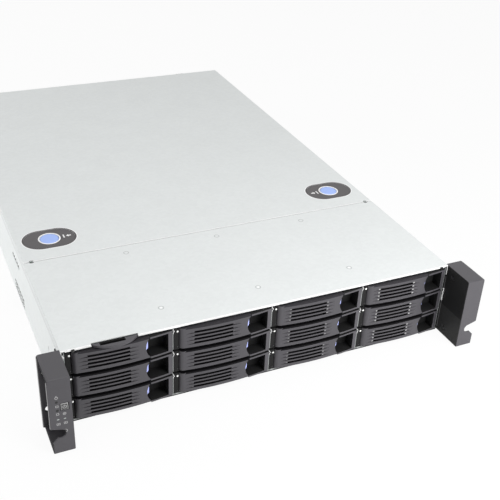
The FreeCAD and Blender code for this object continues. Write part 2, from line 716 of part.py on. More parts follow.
tray_left = size("cage_sheet") / 2 + size("tray_gap")
tray_right = bay_wide - tray_left
tray_half = (bay_pitch - size("tray_play")) / 2
bow_half = (tray_right - tray_left) / 2
bow_rise = size("tray_bow")
bow_round = (bow_half * bow_half + bow_rise * bow_rise) / (bow_rise * 2)
bow_centre_x = tray_left + bow_half
bow_centre_y = bow_round - bow_rise - size("tray_edge")
pin_x = size("lever_left") + size("pin_in")
pin_y = size("pin_back")
lever_low = -(bay_pitch / 2 - size("lever_low_gap"))
lever_top = bay_pitch / 2 - size("lever_top_gap")
lug_top = lever_top - size("lever_lip") - size("lug_gap")


def bow_y(x, inward=0.0):
    """How far forward the bowed front lies at x, or a skin's inner face that far behind it."""
    radius = bow_round - inward
    aside = term(x) - bow_centre_x
    return bow_centre_y - (radius * radius - aside * aside).root()


def lug_outline():
    """The hinge lug seen from above: an eight-sided head round the pin, on a square root."""
    reach = size("lug_round")
    flat = size("lug_flat")
    heel = pin_x + size("lug_heel")
    toe = pin_x + size("lug_wide")
    root = size("tray_front") + SLIVER
    return [(heel, root), (heel, pin_y + reach), (pin_x - flat, pin_y + reach),
            (pin_x - reach, pin_y + flat), (pin_x - reach, pin_y - flat),
            (pin_x - flat, pin_y - reach), (toe, pin_y - reach), (toe, root)]


def make_carrier():
    """The tray itself: bowed pocket frame, dark stile, pierced wall, floor and two rails."""
    body = new_body("tray_carrier")
    front = size("tray_front")
    edge = size("tray_edge")
    right_frame = size("lever_right") + size("lever_gap")
    reach = bow_rise + edge
    bar = size("frame_bar")
    pad(body, "wall", "y", front, tray_back, [box(tray_left, tray_right, -tray_half, tray_half)])
    pad(body, "pocket_block", "y", -reach, front,
        [box(right_frame, tray_right, -tray_half, tray_half)])
    pocket(body, "bowed_front", "z", -tray_half - SLIVER, tray_half + SLIVER, [[
        (tray_left, -reach * 4), (tray_right + SLIVER, -reach * 4),
        (tray_right + SLIVER, -edge), (tray_right, -edge), Arc(tray_left, -edge, bow_round, -1)]])
    pocket(body, "finger_pocket", "y", -reach - SLIVER, front, [box(
        right_frame - SLIVER, tray_right - size("frame_side"), -tray_half + bar, tray_half - bar)])
    stile_front = size("stile_set")
    pad(body, "stile", "y", stile_front, front, [box(
        tray_left, tray_left + size("stile_wide"), -tray_half, tray_half)])
    pad(body, "hinge_floor", "y", stile_front, front, [box(
        tray_left, right_frame, -tray_half, -tray_half + size("tray_floor"))])
    pad(body, "lug", "z", lug_top - size("lug_high"), lug_top, [lug_outline()])
    pocket(body, "hinge_bores", "z", -tray_half - SLIVER, lug_top + SLIVER,
           [Disc(pin_x, pin_y, size("lever_pin") + size("pin_gap"))])
    window = tray_left + size("window_in")
    pocket(body, "air_windows", "y", front - SLIVER, tray_back + SLIVER, [
        box(window + size("window_step") * step,
            window + size("window_step") * step + size("window_wide"),
            -size("window_low"), size("window_top")) for step in (0, 1)])
    rail = size("rail_wall")
    low = -tray_half
    high = low + size("rail_high")
    floor = low + size("tray_floor")
    pad(body, "rails", "y", tray_back - SLIVER, size("drive_long") + tray_back, [[
        (tray_left, low), (tray_right, low), (tray_right, high), (tray_right - rail, high),
        (tray_right - rail, floor), (tray_left + rail, floor), (tray_left + rail, high),
        (tray_left, high)]])
    hole = tray_back + size("floor_front")
    aside = size("floor_in")
    pocket(body, "floor_windows", "z", low - SLIVER, floor + SLIVER, [
        box(tray_left + aside, tray_right - aside, hole + size("floor_step") * step,
            hole + size("floor_step") * step + size("floor_long")) for step in (0, 1)])
    return body


def make_drive():
    """The hard drive that the tray carries: a base casting with a stepped lid."""
    body = new_body("hard_drive")
    left = tray_left + size("rail_wall") + size("drive_gap")
    right = tray_right - size("rail_wall") - size("drive_gap")
    start = tray_back + size("drive_set")
    low = -tray_half + size("tray_floor")
    high = tray_half
    lid_low = high - size("lid_step")
    aside = size("lid_in")
    pad(body, "casting", "z", low, lid_low, [box(left, right, start, drive_end)])
    pad(body, "lid", "z", lid_low, high, [box(
        left + aside, right - aside, start + size("lid_front"), drive_end - size("lid_back"))])
    clear = size("plug_gap")
    half = size("plug_wide") / 2 + clear
    bottom = size("plug_low") - clear
    pocket(body, "plug_recess", "y", drive_end - size("plug_deep"), drive_end + SLIVER, [box(
        bay_wide / 2 - half, bay_wide / 2 + half, bottom, bottom + size("plug_high") + clear * 2)])
    return body


def hollow_outline():
    """The inside of the lever's shell, seen from above, with a flat-sided front."""
    left, right = size("lever_left"), size("lever_right")
    skin = size("lever_skin")
    turn = size("lever_turn")
    back = size("lever_deep") + SLIVER
    end = right + SLIVER
    first = left + turn
    third = (end - first) / 3
    return [(end, back), (left + skin, back), (left + skin, bow_y(first) + turn),
            (first, bow_y(first, skin)), (first + third, bow_y(first + third, skin)),
            (end - third, bow_y(end - third, skin)), (end, bow_y(end, skin))]


def make_lever():
    """The bowed, louvred lever: a shell with lips, a bitten right end and a hinge pin."""
    body = new_body("tray_lever")
    left, right = size("lever_left"), size("lever_right")
    lip = size("lever_lip")
    turn = size("lever_turn")
    turn_y = bow_y(left + turn)
    back = size("lever_deep")
    pad(body, "bowed_block", "z", lever_low, lever_top, [[
        (left, pin_y), (left, turn_y + turn),
        Arc(left + turn, turn_y, turn, 1), Arc(right, bow_y(right), bow_round, 1),
        (right, back), (left + turn, back)]])
    bevel_edges(body, "top_bevel", size("bevel_deep"), size("lever_bevel"),
                lambda edge: abs(edge.CenterOfMass.z - lever_top.number) < TOUCH
                and edge.Curve.TypeId == "Part::GeomCircle" and edge.Length > turn.number * 2)
    pocket(body, "hollow", "z", lever_low + lip, lever_top - lip, [hollow_outline()])
    pad(body, "hinge_pin", "z", -tray_half, lever_top - SLIVER,
        [Disc(pin_x, pin_y, size("lever_pin"))])
    bite = size("bite_round")
    pocket(body, "bite", "y", -bow_rise * 3, back + SLIVER,
           [Disc(right - size("bite_deep") + bite, size("bite_lift"), bite)])
    ramp = size("louvre_ramp")
    first, last = size("louvre_left"), size("louvre_right")
    scoop = size("louvre_scoop")
    start = size("louvre_start")
    half = size("louvre_high") / 2
    lowest = size("louvre_lift") - size("louvre_pitch") * (size("louvre_count") - 1) / 2
    deepest = bow_y(first, size("lever_skin")) + size("louvre_through")
    ahead = -bow_rise * 4
    louvre = pocket(body, "louvre", "z", lowest - half, lowest + half, [[
        (first - ramp, bow_y(first - ramp) - start), (first, bow_y(first) + scoop),
        (first, deepest), (last, deepest), (last, bow_y(last) + scoop),
        (last + ramp, bow_y(last + ramp) - start), (last + ramp, ahead), (first - ramp, ahead)]])
    array(body, "louvres", louvre, ("z", size("louvre_pitch"), size("louvre_count")))
    return body


def make_latch():
    """The latch slider in the finger pocket, partly behind the lever's bitten end."""
    body = new_body("tray_latch")
    left, right = size("latch_left"), size("latch_right")
    front = bow_y(left, size("lever_skin")) + size("latch_set")
    back = size("tray_front") - size("latch_gap") / 2
    third = (right - left) / 3
    crown = front - size("latch_bulge")
    pad(body, "slider", "z", -size("latch_low"), size("latch_top"), [[
        (left, front), (left + third, crown), (right - third, crown), (right, front),
        (right, back), (left, back)]])
    bevel_edges(body, "soft_thumb", size("latch_round"), size("latch_round"),
                lambda edge: runs_along(edge, 1) and near(edge, x=right))
    return body


# ---------------------------------------------------------------- fans

FANS = 4
BLADES = 7
fan_size = wall_top - sheet - size("fan_over")
fan_pitch = (wall_in - size("fan_aside")) / (FANS / 2)
fan_bore = fan_size / 2 - size("fan_rim")
fan_z = sheet + fan_size / 2
fan_front = plane_back + size("fan_behind")
fan_back = fan_front + size("fan_deep")
fan_mount = fan_back - size("fan_strut")
axle_front = fan_mount - size("axle_long")


def fan_x(number):
    return fan_pitch * (number - (FANS - 1) / 2)


def make_fan_wall():
    """The sheet wall across the chassis that the fan housings stand against."""
    body = new_body("fan_wall", y=front_y)
    front = fan_front - size("fan_wall")
    out = wall_in - size("wall_clear")
    pad(body, "plate", "y", front, front + sheet,
        [box(-out, out, sheet, sheet + fan_size)])
    pad(body, "foot", "y", front + sheet - SLIVER, fan_front,
        [box(-out, out, sheet, sheet * 2)])
    pocket(body, "mouths", "y", front - SLIVER, front + sheet + SLIVER,
           [Disc(fan_x(number), fan_z, fan_bore - size("mouth_in"))
            for number in range(FANS)])
    return body


def make_fan_housing():
    """One square fan housing with its round duct, rear struts and axle."""
    body = new_body("fan_housing", y=front_y, z=fan_z)
    half = fan_size / 2
    reach = half - size("shell_in")
    pad(body, "shell", "y", fan_front, fan_back, [box(-half, half, -half, half)])
    pocket(body, "duct", "y", fan_front - SLIVER, fan_back + SLIVER,
           [Disc(0, 0, fan_bore)])
    bar = size("fan_strut") / 2
    for name, loop in (("level", box(-reach, reach, -bar, bar)),
                       ("upright", box(-bar, bar, -reach, reach))):
        pad(body, name + "_strut", "y", fan_mount, fan_back, [loop])
    pad(body, "motor_mount", "y", fan_mount, fan_back, [octagon(0, 0, size("mount_half"))])
    pad(body, "axle", "y", axle_front, fan_mount + SLIVER, [Disc(0, 0, size("fan_axle"))])
    return body


def make_rotor():
    """A fan impeller: a hub with its bearing bore and seven slanted flat blades."""
    body = new_body("fan_rotor", y=front_y, z=fan_z)
    start = fan_front + size("fan_room")
    end = fan_mount - size("fan_gap")
    lean = size("blade_lean")
    thick = size("blade_thick")
    blade = pad(body, "blade", "x", size("blade_root"),
                fan_bore - size("blade_gap"), [[
        (start, lean), (start + thick, lean), (end, -lean), (end - thick, -lean)]])
    ring = body.newObject("PartDesign::PolarPattern", "blades")
    ring.Originals = [blade]
    ring.Axis = (origin_axis(body, "y"), [""])
    ring.Angle = 360
    ring.Occurrences = BLADES
    body.Tip = ring
    doc.recompute()
    pad(body, "hub", "y", start, end, [Disc(0, 0, size("fan_hub"))])
    pocket(body, "bearing", "y", axle_front - size("axle_room"), end + SLIVER,
           [Disc(0, 0, size("fan_axle") + size("fan_axle_gap"))])
    return body


# ---------------------------------------------------------------- boards inside

PSUS = 2
psu_right = wall_in - size("psu_aside")
psu_left = psu_right - size("psu_wide")
psu_start = deep - size("psu_deep")
psu_between = size("psu_shelf") + size("slide_gap") * 2 + size("psu_gap")
psu_first = sheet + size("slide_gap")
psu_high = (wall_top - size("psu_over") - psu_between - psu_first) / PSUS


def psu_low(number):
    return psu_first + (psu_high + psu_between) * number


board_low = sheet + size("board_rise")
board_top = board_low + size("board")
board_left = size("board_aside") - wall_in
board_right = psu_left - size("board_beside")
board_front = fan_back + size("board_behind")
board_back = deep - sheet - size("board_back")
cpu_top = board_top + size("cpu_high")
cpu_y = board_front + size("cpu_back")
CPUS = (board_left + size("cpu_left_in"), board_right - size("cpu_right_in"))
memory_front = board_front + size("memory_front")
memory_back = memory_front + size("memory_long")
sink_half = size("sink_half_wide")
fin_room = sink_half * 2 - size("fin_thick")
FINS = math.floor(fin_room.number / size("fin_pitch").number) + 1
slot_half = size("memory_slot_wide") / 2
room_between = CPUS[1] - CPUS[0] - sink_half * 2 - size("bank_left") - size("bank_right")
room_left = CPUS[0] - board_left - sink_half - size("bank_left") - slot_half
room_right = board_right - CPUS[1] - sink_half - size("bank_right") - slot_half
room_aside = min(room_left.number, room_right.number) + size("bank_pitch").number
BANK_STICKS = math.floor(min(room_between.number / 2, room_aside) / size("bank_pitch").number)
bank_long = size("bank_pitch") * (BANK_STICKS - 1)
BANKS = [first for cpu in CPUS for first in (
    cpu - sink_half - size("bank_left") - bank_long, cpu + sink_half + size("bank_right"))]
riser_x = board_right - size("riser_in")
riser_y = board_front + size("riser_front")
CARDS = 3
# rear sockets, from left to right: middle, width and height
lan_x = size("lan_in") - wall_in
bus_x = lan_x + size("lan_step") + size("bus_on")
screen_x = bus_x + size("bus_step") + size("screen_on")
REAR_SOCKETS = [(lan_x + size("lan_step") * step, size("lan_wide"), size("lan_high"))
                for step in (0, 1)]
REAR_SOCKETS += [(bus_x + size("bus_step") * step, size("bus_wide"), size("bus_high"))
                 for step in (0, 1)]
REAR_SOCKETS.append((screen_x, size("screen_wide"), size("screen_high")))
card_left = screen_x + size("screen_wide") / 2 + size("card_on")
card_rise = wall_top - size("card_over") - size("bracket_up") - size("card_low")
card_back = deep - sheet - size("card_back")
riser_back = card_back - size("riser_clear")


def card_level(number):
    return size("card_low") + card_rise / (CARDS - 1) * number


def make_mainboard():
    """The board on its standoffs, with processor sockets, memory slots and rear sockets."""
    body = new_body("mainboard", y=front_y)
    pad(body, "board", "z", board_low, board_top,
        [box(board_left, board_right, board_front, board_back)])
    aside = size("stand_in")
    stand = pad(body, "standoff", "z", sheet, board_low, [octagon(
        board_left + aside, board_front + aside, size("stand_half"))])
    array(body, "standoffs", stand, ("x", (board_right - board_left) / 2 - aside, 3),
          ("y", (board_back - size("stand_back") - board_front - aside) / 2, 3))
    wide, long = size("cpu_half_wide"), size("cpu_half_long")
    pad(body, "processor_sockets", "z", board_top, cpu_top,
        [box(x - wide, x + wide, cpu_y - long, cpu_y + long) for x in CPUS])
    more = size("memory_slot_more")
    for number, x in enumerate(BANKS):
        slot = pad(body, "memory_slot_%d" % number, "z", board_top,
                   board_top + size("memory_slot_high"),
                   [box(x - slot_half, x + slot_half, memory_front - more, memory_back + more)])
        array(body, "memory_bank_%d" % number, slot, ("x", size("bank_pitch"), BANK_STICKS))
    chip_x, chip_y = board_left + size("chip_in"), board_front + size("chip_front")
    pad(body, "bridge_chip", "z", board_top, board_top + size("chip_high"),
        [box(chip_x, chip_x + size("chip_wide"), chip_y, chip_y + size("chip_wide"))])
    pad(body, "riser_slot", "z", board_top, board_top + size("riser_high"), [box(
        riser_x - size("riser_half"), riser_x + size("riser_half"),
        riser_y, riser_back)])
    skin = size("socket_wall")
    for number, (x, across_x, high) in enumerate(REAR_SOCKETS):
        half = across_x / 2
        pad(body, "rear_socket_%d" % number, "y", deep - size("socket_deep"),
            deep + size("socket_out"),
            [box(x - half, x + half, board_top - SLIVER, board_top + high)])
        pocket(body, "socket_mouth_%d" % number, "y", deep - size("mouth_deep"),
               deep + size("socket_out") + SLIVER,
               [box(x - half + skin, x + half - skin, board_top + skin, board_top + high - skin)])
    return body


def make_heatsinks():
    """Two finned coolers on the processors."""
    long = size("sink_half_long")
    base_top = cpu_top + size("sink_base")
    sinks = []
    for number, x in enumerate(CPUS):
        body = new_body("heatsink_%d" % number, x, front_y + cpu_y)
        pad(body, "base", "z", cpu_top, base_top, [box(-sink_half, sink_half, -long, long)])
        fin = pad(body, "fin", "z", base_top - size("fin_root"), wall_top - size("sink_under"),
                  [box(-sink_half, size("fin_thick") - sink_half, -long, long)])
        array(body, "fins", fin, ("x", size("fin_pitch"), FINS))
        sinks.append(body)
    return gather("cpu_heatsinks", sinks)


def make_memory():
    """The memory sticks, upright in their slots."""
    sticks = []
    half = size("memory_thick") / 2
    first, last = memory_front, memory_back
    low = board_top + size("memory_slot_high")
    high = low + size("memory_high")
    corner = size("memory_corner")
    for bank, bank_x in enumerate(BANKS):
        for number in range(BANK_STICKS):
            body = new_body("stick_%d_%d" % (bank, number),
                            bank_x + size("bank_pitch") * number, front_y)
            pad(body, "stick", "x", -half, half, [[
                (first, low), (last, low), (last, high - corner), (last - corner, high),
                (first + corner, high), (first, high - corner)]])
            sticks.append(body)
    return gather("memory_modules", sticks)


def make_cards():
    """A riser with three expansion cards and their slot brackets."""
    riser = new_body("riser_board", y=front_y)
    half = size("board") / 2
    pad(riser, "board", "x", riser_x - half, riser_x + half, [box(
        riser_y, riser_back, board_top + size("riser_high"),
        wall_top - size("riser_under"))])
    members = [riser]
    cooler = card_left + size("cooler_in")
    cooler_y = board_front + size("cooler_front")
    for number in range(CARDS):
        level = card_level(number)
        board_up = level + size("board")
        card = new_body("card_%d" % number, y=front_y)
        pad(card, "board", "z", level, board_up, [box(
            card_left + size("card_inset"), riser_x - half,
            board_front + size("card_front") + size("card_stagger") * number,
            card_back - size("bracket_thick"))])
        pad(card, "cooler", "z", board_up, level + size("cooler_top"), [box(
            cooler, cooler + size("cooler_wide"), cooler_y, cooler_y + size("cooler_wide"))])
        pad(card, "bracket", "y", card_back - size("bracket_thick"), card_back, [box(
            card_left, riser_x - size("bracket_in"), level - size("bracket_down"),
            level + size("bracket_up"))])
        members.append(card)
    return gather("expansion_cards", members)


# ---------------------------------------------------------------- rear panel and power supplies

def make_rear_panel():
    """The rear wall with its openings, and the guide wall and shelf of the supply bay."""
    body = new_body("rear_panel", y=front_y)
    gap = size("psu_gap")
    back = deep - sheet
    bay_top = psu_low(1) + psu_high
    pad(body, "plate", "y", back, deep, [box(-wall_in, wall_in, sheet, wall_top)])
    pocket(body, "supply_mouth", "y", back - SLIVER, deep + SLIVER, [box(
        psu_left - gap, psu_right + gap, sheet, bay_top + gap)])
    pad(body, "guide_wall", "y", psu_start, back + SLIVER,
        [box(psu_left - gap - sheet, psu_left - gap, sheet, bay_top)])
    shelf = psu_low(1) - size("slide_gap")
    pad(body, "shelf", "y", psu_start, deep,
        [box(psu_left - gap - SLIVER, wall_in, shelf - size("psu_shelf"), shelf)])
    clear = size("socket_gap")
    low = board_top - SLIVER - clear
    mouths = [box(x - wide / 2 - clear, x + wide / 2 + clear, low, board_top + high + clear)
              for x, wide, high in REAR_SOCKETS]
    mouths += [box(card_left + size("card_slot_left"), riser_x - size("card_slot_right"),
                   card_level(number) - size("card_slot_down"),
                   card_level(number) + size("card_slot_up")) for number in range(CARDS)]
    pocket(body, "openings", "y", back - SLIVER, deep + SLIVER, mouths)
    air_x, air_z = size("air_in") - wall_in, size("air_low")
    air_rise = (wall_top - size("air_over") - size("air_high") - air_z) / (size("air_rows") - 1)
    air = pocket(body, "air_slot", "y", back - SLIVER, deep + SLIVER,
                 [box(air_x, air_x + size("air_wide"), air_z, air_z + size("air_high"))])
    array(body, "air_slots", air, ("x", size("air_step"), size("air_across")),
          ("z", air_rise, size("air_rows")))
    return body


def handle_outline():
    """The loop handle seen from the side, with its two feet on the supply's rear face."""
    root = deep - SLIVER
    low = size("handle_low")
    high = psu_high - low
    bar = size("handle_bar")
    corner = size("handle_corner")
    inner = size("handle_inner")
    out = deep + size("handle_reach")
    return [(root, low), (out - corner, low), (out, low + corner), (out, high - corner),
            (out - corner, high), (root, high), (root, high - bar), (out - bar - inner, high - bar),
            (out - bar, high - bar - inner), (out - bar, low + bar + inner),
            (out - bar - inner, low + bar), (root, low + bar)]


def make_psu(label, number):
    """A supply module: shell, fan grille, three-pin inlet, contact tongue and loop handle."""
    body = new_body(label, psu_left, front_y, psu_low(number))
    wide, high = size("psu_wide"), psu_high
    middle = high / 2
    pad(body, "shell", "y", psu_start, deep, [box(0, wide, 0, high)])
    tongue = size("tongue_thick") / 2
    aside = size("tongue_in")
    pad(body, "contact_tongue", "y", psu_start - size("tongue_out"), psu_start + SLIVER,
        [box(aside, wide - aside, middle - tongue, middle + tongue)])
    half = size("inlet_wide") / 2
    tall = size("inlet_high") / 2
    inlet_x = wide - half - size("inlet_in")
    inlet_back = deep - size("inlet_deep")
    pocket(body, "inlet", "y", inlet_back, deep + SLIVER,
           [box(inlet_x - half, inlet_x + half, middle - tall, middle + tall)])
    thick = size("pin_thick") / 2
    long = size("pin_high") / 2
    spots = [(-size("pin_apart"), -size("pin_down")), (size("pin_apart"), -size("pin_down")),
             (term(0.0), size("pin_up"))]
    pad(body, "pins", "y", inlet_back - SLIVER, deep - size("pin_set"), [
        box(inlet_x + x - thick, inlet_x + x + thick, middle + z - long, middle + z + long)
        for x, z in spots])
    slot_x = size("grille_at") - size("grille_left")
    rim = size("grille_in")
    slot = pocket(body, "grille_slot", "y", deep - size("grille_deep"), deep + SLIVER,
                  [box(slot_x, slot_x + size("grille_bar"), rim, high - rim)])
    array(body, "fan_grille", slot, ("x", size("grille_step"), size("grille_count")))
    left = size("grille_at") - size("handle_wide") / 2
    pad(body, "handle", "x", left, left + size("handle_wide"), [handle_outline()])
    return body


# ---------------------------------------------------------------- fasteners

def make_screws():
    """The pan-head screws that hold the two ears to the side walls."""
    screws = []
    head = size("screw_head")
    tab_out = wall_out + wall
    screw_low = size("tab_low") + size("screw_in")
    screw_rise = tab_top - size("screw_under") - screw_low
    for side in (-1, 1):
        ends = across(side, tab_out, tab_out + size("screw_high"))
        for number in range(3):
            body = new_body("ear_screw_%d_%d" % (side, number), y=front_y)
            height = screw_low + screw_rise / 2 * number
            pad(body, "head", "x", ends[0], ends[1], [Disc(size("ear_tab") / 2, height, head)])
            screws.append(body)
    return gather("fasteners", screws)


# ---------------------------------------------------------------- assembly

nodes = [make_chassis(), make_front_cover(), make_rear_cover(), make_cage(), make_backplane(),
         make_mainboard(), make_heatsinks(), make_memory(), make_cards(), make_rear_panel(),
         make_screws(), make_ear("left_ear", -1), make_ear("right_ear", 1), make_power_button(),
         make_pull_tag(), make_cover_button("cover_button_left", -1),
         make_cover_button("cover_button_right", 1)]
nodes += [make_psu("psu_%d" % (number + 1), number) for number in range(PSUS)]

housing = make_fan_housing()
rotor = make_rotor()
nodes.append(gather("fan_frames", [make_fan_wall()] + [
    copy_of("fan_housing_%d" % number, housing, x=fan_x(number)) for number in range(FANS)]))
nodes += [copy_of("fan_rotor_%d" % (number + 1), rotor, x=fan_x(number)) for number in range(FANS)]

carrier, drive, lever, latch = make_carrier(), make_drive(), make_lever(), make_latch()
loaded = gather("loaded_tray", [carrier, drive])
for row in range(ROWS):
    for column in range(COLUMNS):
        number = (ROWS - 1 - row) * COLUMNS + column + 1
        for name, source in (("drive_tray", loaded), ("tray_lever", lever), ("tray_latch", latch)):
            nodes.append(copy_of("%s_%02d" % (name, number), source,
                                 bay_x(column), front_y, row_z(row)))

doc.recompute()
failed = [item.Label for item in doc.Objects if "Invalid" in item.State or "Error" in item.State]
failed += [item.Label for item in nodes if item.Shape.isNull() or not item.Shape.isValid()]
if failed:
    raise ValueError("failed: " + ", ".join(failed))

os.makedirs("parts", exist_ok=True)
for item in nodes:
    item.Shape.exportStep("parts/%s.step" % item.Label)
print("nodes", len(nodes))
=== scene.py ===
"""Studio scene of a 2U rack server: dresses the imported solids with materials, trim and light."""
import math

import bmesh
import bpy
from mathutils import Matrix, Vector


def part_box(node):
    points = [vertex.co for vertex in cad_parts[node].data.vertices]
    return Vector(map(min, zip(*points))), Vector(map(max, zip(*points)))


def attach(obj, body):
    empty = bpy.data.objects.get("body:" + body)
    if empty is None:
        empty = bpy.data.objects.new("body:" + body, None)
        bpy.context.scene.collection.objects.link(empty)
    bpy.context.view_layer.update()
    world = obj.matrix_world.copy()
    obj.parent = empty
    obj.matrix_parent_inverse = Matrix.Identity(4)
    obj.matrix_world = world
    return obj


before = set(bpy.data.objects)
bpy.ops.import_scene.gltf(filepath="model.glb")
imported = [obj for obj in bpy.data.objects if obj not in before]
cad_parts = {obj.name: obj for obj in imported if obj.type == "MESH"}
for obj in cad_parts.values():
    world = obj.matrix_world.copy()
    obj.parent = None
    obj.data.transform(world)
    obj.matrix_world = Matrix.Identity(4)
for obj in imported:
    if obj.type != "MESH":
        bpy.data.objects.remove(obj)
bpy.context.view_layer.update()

MM = 0.001
X, Y, Z = range(3)

# ---- places read from the imported parts
# They are in metres; names in _mm, and the sizes in capitals further down, are in millimetres.

SERVER = "server"
COVER = "rear_cover"
COLUMNS, ROWS = 4, 3
TRAYS = ["%02d" % number for number in range(1, COLUMNS * ROWS + 1)]

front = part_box("chassis_base")[0].y
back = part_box("chassis_base")[1].y
lid_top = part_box("rear_cover")[1].z
side_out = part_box("rear_cover")[1].x
ear_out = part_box("right_ear")[1].x
tray_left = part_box("drive_tray_01")[0].x
tray_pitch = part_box("drive_tray_02")[0].x - tray_left
front_mm, back_mm, top_mm, side_mm = front / MM, back / MM, lid_top / MM, side_out / MM


def middle(node):
    """The middle of a node's box."""
    low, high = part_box(node)
    return (low + high) / 2


# ---- outlines, in millimetres

CORNER_STEPS = 6


def circle(x, y, radius, steps):
    return [(x + radius * math.cos(2 * math.pi * step / steps),
             y + radius * math.sin(2 * math.pi * step / steps)) for step in range(steps)]


def rounded(x0, x1, y0, y1, radius):
    """A rectangle with round corners, counter-clockwise."""
    points = []
    corners = ((x1 - radius, y0 + radius, -90), (x1 - radius, y1 - radius, 0),
               (x0 + radius, y1 - radius, 90), (x0 + radius, y0 + radius, 180))
    for x, y, start in corners:
        for step in range(CORNER_STEPS + 1):
            turn = math.radians(start + 90 * step / CORNER_STEPS)
            points.append((x + radius * math.cos(turn), y + radius * math.sin(turn)))
    return points


def plate(x, y, half_wide, half_high, radius):
    """A rectangle with round corners about its middle."""
    return rounded(x - half_wide, x + half_wide, y - half_high, y + half_high, radius)


def ray_loop(distance, x, y, steps=96):
    """A closed loop round (x, y) whose distance from there is a function of the angle."""
    turns = [2 * math.pi * (step + 0.5) / steps for step in range(steps)]
    return [(x + distance(turn) * math.cos(turn), y + distance(turn) * math.sin(turn))
            for turn in turns]


def stadium_reach(half_long, half_wide):
    """How far a stadium's edge is from its middle, by angle."""
    straight = half_long - half_wide

    def reach(turn):
        along, across = abs(math.cos(turn)), abs(math.sin(turn))
        if across * straight >= along * half_wide:
            return half_wide / across
        inner = straight * along
        return inner + math.sqrt(half_wide ** 2 - (straight * across) ** 2)
    return reach


def cross_reach(half_long, half_bar):
    """How far a plus sign's edge is from its middle, by angle."""
    def reach(turn):
        along, across = abs(math.cos(turn)), abs(math.sin(turn))
        most, least = max(along, across), min(along, across)
        if least * half_long <= most * half_bar:
            return half_long / most
        return half_bar / least
    return reach


# ---- mesh building

AXES = {"x": (Vector((0, 1, 0)), Vector((0, 0, 1)), Vector((1, 0, 0))),
        "y": (Vector((1, 0, 0)), Vector((0, 0, 1)), Vector((0, 1, 0))),
        "z": (Vector((1, 0, 0)), Vector((0, 1, 0)), Vector((0, 0, 1)))}


TURNED_STEPS, TURNED_LEAST = 24, 0.01
SMOOTH_UNDER = math.radians(35)
BEVEL_OVER = math.radians(40)


class Part:
    """A mesh in the making: solids are added to it, then it becomes one piece on one body."""

    def __init__(self, axis):
        self.mesh = bmesh.new()
        self.first, self.second, self.along = AXES[axis]

    def ring(self, loop, level, origin=Vector()):
        """The vertices of an outline at a level along the part's axis."""
        points = [self.first * across + self.second * up + self.along * level
                  for across, up in loop]
        return [self.mesh.verts.new(origin + point * MM) for point in points]

    def band(self, lower, upper):
        """The faces between two rings."""
        count = len(lower)
        for step in range(count):
            after = (step + 1) % count
            self.mesh.faces.new((lower[step], lower[after], upper[after], upper[step]))

    def block(self, loop, low, high):
        """A solid of one outline between two levels."""
        lower, upper = self.ring(loop, low), self.ring(loop, high)
        self.band(lower, upper)
        self.mesh.faces.new(list(reversed(lower)))
        self.mesh.faces.new(upper)

    def pierced(self, outer, inner, low, high):
        """A solid between an outer loop and a hole with as many points."""
        loops = [self.ring(outer, low), self.ring(outer, high),
                 self.ring(inner, high), self.ring(inner, low)]
        for lower, upper in zip(loops, loops[1:] + loops[:1]):
            self.band(lower, upper)

    def turned(self, profile, origin):
        """A solid of revolution: (radius, level) pairs, closed on the axis at both ends."""
        rings = [self.ring(circle(0, 0, max(radius, TURNED_LEAST), TURNED_STEPS), level, origin)
                 for radius, level in profile]
        for lower, upper in zip(rings, rings[1:]):
            self.band(lower, upper)
        self.mesh.faces.new(list(reversed(rings[0])))
        self.mesh.faces.new(rings[-1])

    def finish(self, name, skin, body, bevel=0.0, smooth=True):
        """Makes the mesh a piece in that material, riding on a body."""
        bmesh.ops.recalc_face_normals(self.mesh, faces=self.mesh.faces)
        data = bpy.data.meshes.new(name)
        self.mesh.to_mesh(data)
        self.mesh.free()
        piece = placed(name, data)
        data.materials.append(skin)
        if bevel:
            add_bevel(piece, bevel, segments=2)
        if smooth:
            data.polygons.foreach_set("use_smooth", [True] * len(data.polygons))
            data.set_sharp_from_angle(angle=SMOOTH_UNDER)
        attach(piece, body)
        return piece


def placed(name, data):
    """A new object in the scene."""
    made = bpy.data.objects.new(name, data)
    bpy.context.scene.collection.objects.link(made)
    return made


def add_bevel(piece, width, segments):
    """Rounds the sharp edges of a piece by a width in millimetres."""
    modifier = piece.modifiers.new("edges", "BEVEL")
    modifier.width = width * MM
    modifier.segments = segments
    modifier.limit_method = "ANGLE"
    modifier.angle_limit = BEVEL_OVER
    modifier.harden_normals = False
    modifier.use_clamp_overlap = True
    return modifier


# ---- how materials are made

DULL_SHINE = 0.06
ENDLESS = 2000.0


class Nodes:
    """A node tree with the few operations that the skins and the sky are made of."""

    def __init__(self, tree):
        self.tree = tree

    def link(self, source, target):
        self.tree.links.new(source, target)

    def node(self, kind, inputs, **settings):
        """A new node; its inputs, by name or number, get a value or a link from a socket."""
        made = self.tree.nodes.new("ShaderNode" + kind)
        for key, value in settings.items():
            setattr(made, key, value)
        for key, value in inputs.items():
            if isinstance(value, bpy.types.NodeSocket):
                self.link(value, made.inputs[key])
            else:
                made.inputs[key].default_value = value
        return made

    def maths(self, operation, *values):
        return self.node("Math", dict(enumerate(values)), operation=operation).outputs[0]

    def vector(self, operation, *values, output="Vector"):
        made = self.node("VectorMath", dict(enumerate(values)), operation=operation)
        return made.outputs[output]

    def spread(self, value, low, high):
        """Maps a 0-to-1 value onto a range."""
        ends = {"Value": value, "To Min": low, "To Max": high}
        return self.node("MapRange", ends).outputs["Result"]


